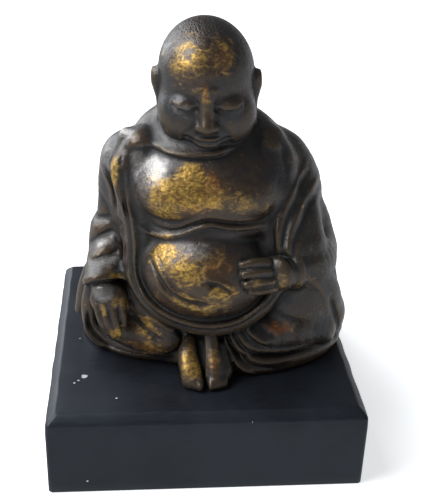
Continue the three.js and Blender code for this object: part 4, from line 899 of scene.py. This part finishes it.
# where the patina is rubbed through, and where a highlight is painted: a place and its reach in hundredths of
# the figure's height, then how much old gilding, bare copper, pale metal (partly polish, partly a painted
# sheen) and warm brown show there, in this order
patches = {
    "forehead": ((-4, -17, 93.4), (7.4, 8, 7.6), (0.52, 0.3, 0, 0.6)),
    "temple": ((-9.6, -10.6, 95.6), (5, 7, 6), (0, 0, 0.45, 0)),
    "foreheadRight": ((4.6, -17, 93.6), (4.6, 8, 7.2), (0.35, 0.6, 0, 0)),
    "bridge": ((-0.2, -19.7, 86), (1.8, 5, 4.5), (0.3, 0.6, 0, 0)),
    "cheek": ((-6, -18, 80.4), (5, 5, 3), (0, 0, 0.5, 0)),
    "chest": ((-6.3, -23, 58), (9.8, 8, 3.7), (1.4, 0.2, 0, 0)),
    "chestTop": ((-4.3, -21.6, 62), (4.2, 7, 3.3), (1.4, 0.2, 0, 0)),
    "chestLow": ((-12, -23, 52.6), (5.6, 7, 4.2), (0.75, 0.4, 0, 0)),
    "chestRed": ((1.3, -22.6, 59), (3.4, 6, 6.6), (0.35, 1, 0, 0)),
    "chestAmber": ((-2.8, -23.9, 54.4), (7.6, 6, 2.8), (0.6, 0.8, 0, 0)),
    "chestRight": ((11, -23, 55), (6.6, 7, 6), (0.4, 0.3, 0, 0)),
    "chestPale": ((-15.4, -17.5, 62), (6.4, 8, 6.4), (0, 0, 1.15, 0)),
    "wholeChest": ((-2, -22, 55), (19, 12, 10), (0, 0, 0, 0.7)),
    "flap": ((-26.1, -11.2, 58.4), (2.2, 5, 5.6), (1, 0.7, 0, 0)),
    "belly": ((-12.4, -25, 39.9), (5.6, 7, 5.8), (0.85, 0.4, 0, 0)),
    "bellyMiddle": ((-6.1, -29.7, 37.4), (5.8, 6, 4), (0.95, 0.3, 0, 0)),
    "bellyPale": ((-3.6, -27.4, 42.6), (5.6, 6, 4), (0, 0, 0.7, 0)),
    "bellyLow": ((4.4, -31.3, 31.6), (5, 6, 2.6), (0.7, 0.5, 0, 0)),
    "bellyUnder": ((-4, -30.9, 28), (11, 8, 4.6), (0.4, 0.4, 0, 0)),
    "bellyRight": ((1, -29.6, 38.6), (7, 6, 5), (0.2, 0.6, 0, 0)),
    "wholeBelly": ((-3, -28, 33), (17, 12, 12), (0, 0, 0, 0.8)),
    "cuff": ((-26.4, -21, 29), (2.8, 3, 1.8), (0.9, 0.5, 0, 0)),
    "backOfHand": ((-30.9, -20.4, 24.4), (3.6, 4, 2.6), (0, 0, 1.3, 0)),
    "elbow": ((-33.2, -5.4, 37.4), (2.8, 4, 3), (0, 0.45, 0, 1)),
    "sleeveTop": ((-30.4, -8.8, 35.1), (3.4, 3, 2.6), (0, 0, 1.1, 0)),
    "sleeveEnd": ((-28.8, -15, 31.4), (3.4, 3, 2.4), (0, 0, 0.9, 0)),
    "sleeveMiddle": ((-29.2, -12.2, 33.6), (2.6, 2, 1.8), (0.3, 0, 0, 0.6)),
    "collarCorner": ((-22.4, -5, 69.8), (5, 7, 3), (0, 0, 1, 0)),
    "shoulder": ((-30, -2.6, 60.6), (4, 6, 6), (0, 0, 0.8, 0)),
    "wrist": ((-31, -22.4, 19.6), (1.9, 3, 2), (0.6, 0.3, 0, 0)),
    "knuckles": ((-26.4, -20.4, 21.6), (2.8, 3, 2.1), (0.75, 0.4, 0, 0)),
    "fingers": ((-27.4, -24.3, 13.4), (2, 3, 2.6), (0.75, 0.2, 0, 0)),
    "knee": ((-18.2, -20.4, 13.5), (5, 4, 3.5), (0.85, 0.3, 0, 0)),
    "shin": ((-19.3, -22.7, 7), (7, 4, 2.6), (0.55, 0.8, 0, 0)),
    "wholeLeg": ((-20, -20, 9), (12, 10, 8), (0, 0, 0, 0.6)),
    "wholeArm": ((-30, -6, 38), (8, 12, 12), (0, 0, 0, 0.4)),
    "leftFoot": ((-5.4, -30.6, 6.6), (3, 4, 5.6), (0.9, 0.4, 0.6, 0.5)),
    "rightFoot": ((1.2, -31.2, 7.4), (1.6, 4, 3.6), (0.35, 0.9, 0, 0.5)),
    "otherShin": ((21, -22.8, 15.4), (4.4, 4, 2.9), (0.25, 1, 0, 0)),
    "palm": ((20, -27.4, 33.2), (2.8, 3, 3.5), (0.6, 0.3, 0, 0)),
    "fingersOnBelly": ((13.7, -30.1, 33.6), (1.9, 3, 2.8), (0.4, 0.2, 0, 0)),
    "sleeve": ((31, -22.7, 31), (5, 5, 4.6), (0.2, 0.45, 0, 0)),
}
# rounds of smoothing, the height in metres that counts as full, and its share
wear = {"fine": (6, 0.000055, 0.75), "broad": (60, 0.0004, 0.4), "level": 0.22, "patchEdge": 1.2,
        "hairline": (-13.5, 98.4, 0.55), "hairFade": 0.8}


def smoothed(points, edges, rounds):
    # each point goes to the middle of its neighbours, again and again
    a, b = edges.T
    links = np.bincount(np.concatenate([a, b]), minlength=len(points))[:, None]
    for _ in range(rounds):
        total = np.stack([np.bincount(a, v[b], len(v)) + np.bincount(b, v[a], len(v)) for v in points.T], -1)
        points = (points + total / links) / 2
    return points


def column(items, name, width, kind=float):
    values = np.empty(len(items) * width, kind)
    items.foreach_get(name, values)
    return values.reshape(-1, width)


def markWear(piece):
    # how far each place stands out or lies deep, and which patches it is in
    mesh = piece.data
    points, normals = column(mesh.vertices, "co", 3), column(mesh.vertices, "normal", 3)
    edges = column(mesh.edges, "vertices", 2, int)
    height = 0
    even = smoothed(points, edges, 1)
    for rounds, scale, share in (wear["fine"], wear["broad"]):
        proud = ((even - smoothed(even, edges, rounds)) * normals).sum(1) / scale
        height = height + share * np.sign(proud) * np.clip(np.abs(proud) - wear["level"], 0, 1)
    height = smoothed(height[:, None], edges, 2)[:, 0]
    q = fromFrame(points)
    marks = {name: np.zeros(len(q)) for name in ("gilt", "copper", "polish_and_sheen", "warm")}
    for place, reach, shares in patches.values():
        close = np.exp(-(((q - np.array(place)) / np.array(reach)) ** 2).sum(1) ** wear["patchEdge"])
        for name, share in zip(marks, shares):
            marks[name] = np.maximum(marks[name], share * close)
    frontY, frontZ, slope = wear["hairline"]
    hair = ramp(q[:, 2] - frontZ + slope * (q[:, 1] - frontY), -wear["hairFade"], wear["hairFade"])
    marks.update(ridge=np.maximum(height, 0), crease=np.maximum(-height, 0), hair=hair)
    for name, values in marks.items():
        mesh.attributes.new(name, "FLOAT", "POINT").data.foreach_set("value", values.astype(np.float32))


markWear(figure)
print("the wear is marked on the figure")

# aged bronze: a near-black brown patina, rubbed brighter on the ridges, with old gilding, bare copper and
# painted pale highlights
bronze = {
    "brown": (0.022, 0.013, 0.009), "grey": (0.011, 0.011, 0.0125), "olive": (0.017, 0.015, 0.009),
    "deep": (0.003, 0.003, 0.003), "rubbed": (0.085, 0.060, 0.036), "halo": (0.050, 0.027, 0.012),
    "copper": (0.26, 0.085, 0.032), "ochre": (0.18, 0.105, 0.030), "gold": (0.64, 0.40, 0.095),
    # the pale grey is a painted highlight colour, on metal that is partly polished
    "polish_and_sheen": (0.30, 0.29, 0.28), "speck": (0.014, 0.010, 0.007),
    "streaks": {"Rotation": (0.2, 0.5, 0.1), "Scale": (0.5, 1, 1)},
    "roughness": 0.33, "relief": 0.00013, "stipple": 1150, "surface": {"Specular IOR Level": 0.7, "IOR": 1.5},
}


def finishBronze(piece):
    start, place, feed = material(piece, "agedBronze", bronze["surface"])
    ridge, crease, gilt, copper, polish_and_sheen, warm, hair = (
        start.node("Attribute", {"attribute_name": name}, output="Fac")
        for name in ("ridge", "crease", "gilt", "copper", "polish_and_sheen", "warm", "hair"))
    aslant = start.node("Mapping", inputs={"Vector": place, **bronze["streaks"]})
    cloud, mottle, streak = place.noise(75, 3), place.noise(230, 4, 0.6, 0.6), aslant.noise(420, 5, 0.7, 1.2)
    speck, grain = place.noise(900, 3, 0.65), place.noise(2300, 2)
    drift = place.noise(125, 2, 0.5, 0.4)
    bare = gilt * 1.5 + (drift - 0.5) * 1.6 + (mottle - 0.5) * 1.7 + (streak - 0.5) * 1.8 - crease * 0.9
    golden = (bare + ridge * gilt * 0.6).rise(0.3, 1.6) * (0.7 + speck.rise(0.36, 0.6) * 0.3)
    halo = (warm + gilt * 0.7 + copper * 0.6 + (cloud - 0.5) * 1.1 + (mottle - 0.5) * 0.8).rise(0.15, 1.05)
    red = (copper * 1.3 + (mottle - 0.5) * 1.6 + (streak - 0.5) * 1.2 - crease).rise(0.5, 1.3)
    # the pale patches paint the lamps' sheen where highlights fall, partly on polished metal
    polish_and_sheen_mask = (polish_and_sheen * 1.3 + (mottle - 0.5) * 1.4 + (streak - 0.5) * 1.2 - crease).rise(0.3, 1.3)
    patina = cloud.rise(0.4, 0.6).between(bronze["brown"], bronze["grey"])
    patina = patina.tint(bronze["olive"], place.noise(130, 2).rise(0.5, 0.65) * 0.7)
    rubbed = (ridge * 1.4 + (mottle - 0.5) * 1.8 + (streak - 0.5) * 1.8 - 0.25).rise(0.25, 1.2)
    colour = patina.tint(bronze["halo"], halo * 0.9)
    colour = colour.tint(bronze["deep"], (crease * 1.3 + (speck - 0.5) * 0.4).rise(0.1, 0.9) * 0.85)
    colour = colour.tint(bronze["rubbed"], rubbed * (1 - hair) * 0.7)
    # here the painted highlight is mixed into the colour
    colour = colour.tint(bronze["polish_and_sheen"], polish_and_sheen_mask * 0.7)
    colour = colour.tint(bronze["copper"], red * 0.6)
    metal = (streak * 0.7 + speck * 0.3).rise(0.38, 0.64).between(bronze["ochre"], bronze["gold"])
    colour = colour.tint(metal, golden)
    colour = colour.tint(bronze["speck"], halo * place.noise(1300, 3).rise(0.54, 0.68) * 0.55)
    shine = golden.most(red * 0.7).most(rubbed * 0.5 * (1 - hair)).most(polish_and_sheen_mask * 0.8)
    rough = bronze["roughness"] + (speck - 0.5) * 0.36 + (mottle - 0.5) * 0.3 + crease * 0.24
    rough = rough + (cloud - 0.5) * 0.16 + hair * 0.08 + golden * 0.1 - polish_and_sheen_mask * 0.08
    dots = {"Vector": place, "Scale": bronze["stipple"]}
    stipple = place.node("TexVoronoi", inputs=dots, output="Distance")
    height = grain * 0.4 + speck * 0.9 + mottle * 2 + golden * 0.2 - hair * stipple * 1.6
    bump = start.node("Bump", inputs={"Strength": 1.0, "Distance": bronze["relief"], "Height": height})
    feed(Base_Color=colour, Metallic=0.1 + shine * 0.78, Roughness=rough, Normal=bump)


finishBronze(figure)

# ebonised wood: satin blue-black, with a faint grain and a few pale chips
wood = {
    "dark": (0.009, 0.010, 0.013), "light": (0.015, 0.018, 0.024), "chip": (0.55, 0.56, 0.55),
    "roughness": 0.4, "relief": 0.00005, "grain": {"Scale": (0.12, 1, 1)},
    "surface": {"Specular IOR Level": 0.36, "IOR": 1.5, "Specular Tint": (0.82, 0.91, 1, 1)},
    "chips": [
        ((-0.0467, -0.0329, 0.034), 0.0008), ((-0.0488, -0.0355, 0.034), 0.0003),
        ((-0.0503, -0.0371, 0.034), 0.0003), ((-0.0497, -0.0060, 0.034), 0.0002),
        ((-0.0341, -0.0474, 0.034), 0.0003), ((-0.0575, -0.0491, 0.0321), 0.0003),
        ((-0.0577, -0.0580, 0.0315), 0.0004), ((-0.0452, -0.06, 0.0053), 0.0003),
        ((0.0160, -0.0600, 0.0310), 0.0003), ((0.052, 0.0590, 0.0315), 0.0004),
    ],
}


def finishWood(piece):
    start, place, feed = material(piece, "ebonisedWood", wood["surface"])
    along = start.node("Mapping", inputs={"Vector": place, **wood["grain"]})
    fibre, cloud, speck = along.noise(1500, 4, 0.6), place.noise(38, 3), place.noise(900, 3)
    chips = None
    for at, radius in wood["chips"]:
        far = start.node("VectorMath", {"operation": "DISTANCE"}, {0: place, 1: at}, 1)
        chip = (radius * 1.5 - far + (speck - 0.5) * radius * 2.4).rise(0, radius * 0.3)
        chips = chip if chips is None else chips.most(chip)
    colour = (cloud * 0.6 + fibre * 0.4).rise(0.35, 0.65).between(wood["dark"], wood["light"])
    colour = colour.tint(wood["chip"], chips * 0.85)
    rough = wood["roughness"] + (fibre - 0.5) * 0.2 + (cloud - 0.5) * 0.3 + chips * 0.3
    height = fibre * 0.5 + speck * 0.25 - chips * 3
    bump = start.node("Bump", inputs={"Strength": 1.0, "Distance": wood["relief"], "Height": height})
    feed(Base_Color=colour, Roughness=rough, Normal=bump)


finishWood(block)
print("the materials are on")

# a plain pale floor
stage = {"width": 6.0, "colour": (0.88, 0.89, 0.90, 1), "roughness": 0.9, "glow": 0.72}


def makeFloor():
    half = stage["width"] / 2
    corners = np.array([(-half, -half, 0), (half, -half, 0), (half, half, 0), (-half, half, 0)])
    floor = linked("floor", meshOf("floor", corners, np.array([[0, 1, 2, 3]])))
    material(floor, "paleFloor", {"Base Color": stage["colour"], "Roughness": stage["roughness"],
                                  "Emission Color": stage["colour"], "Emission Strength": stage["glow"]})
    floor.visible_glossy = False  # so that the bronze keeps its dark side, as in a dim room


makeFloor()

# soft studio light, all from the left: one high above, a smaller one in front like a window and a broad one
# behind; each has its place, aim, size, power and colour
lights = {
    "over": ((-0.58, 0, 0.82), (0, 0, 0.1), 0.7, 9, (0.97, 0.98, 1)),
    "window": ((-0.76, -0.34, 0.65), (0, 0, 0.09), 0.45, 3.3, (0.95, 0.97, 1)),
    "behind": ((-0.72, 0.76, 0.52), (0, 0, 0.07), 0.85, 7.6, (0.93, 0.96, 1)),
}
# the sky is brighter in a band above the horizon
surroundings = {"colour": (0.94, 0.965, 1, 1), "strength": 0.17, "horizon": 0.5, "band": (0, 0.2)}


def makeLights():
    for name, (place, aim, wide, power, colour) in lights.items():
        data = bpy.data.lights.new(name, "AREA")
        data.energy, data.size, data.color = power, wide, colour
        lamp = linked(name, data)
        lamp.location = place
        lamp.rotation_mode = "QUATERNION"
        lamp.rotation_quaternion = (Vector(place) - Vector(aim)).to_track_quat("Z", "Y")
    world = bpy.data.worlds.new("studio")
    world.use_nodes = True
    sky = world.node_tree.nodes["Background"]
    sky.inputs["Color"].default_value = surroundings["colour"]
    air = Value(world.node_tree)
    upward = air.node("SeparateXYZ", inputs={"Vector": air.node("TexCoord", output="Generated")}, output="Z")
    strength = (1 - upward.rise(*surroundings["band"])) * surroundings["horizon"] + surroundings["strength"]
    world.node_tree.links.new(strength.socket, sky.inputs["Strength"])
    bpy.context.scene.world = world
    bpy.context.scene.view_settings.view_transform = "Standard"


makeLights()
print("the lights are placed")
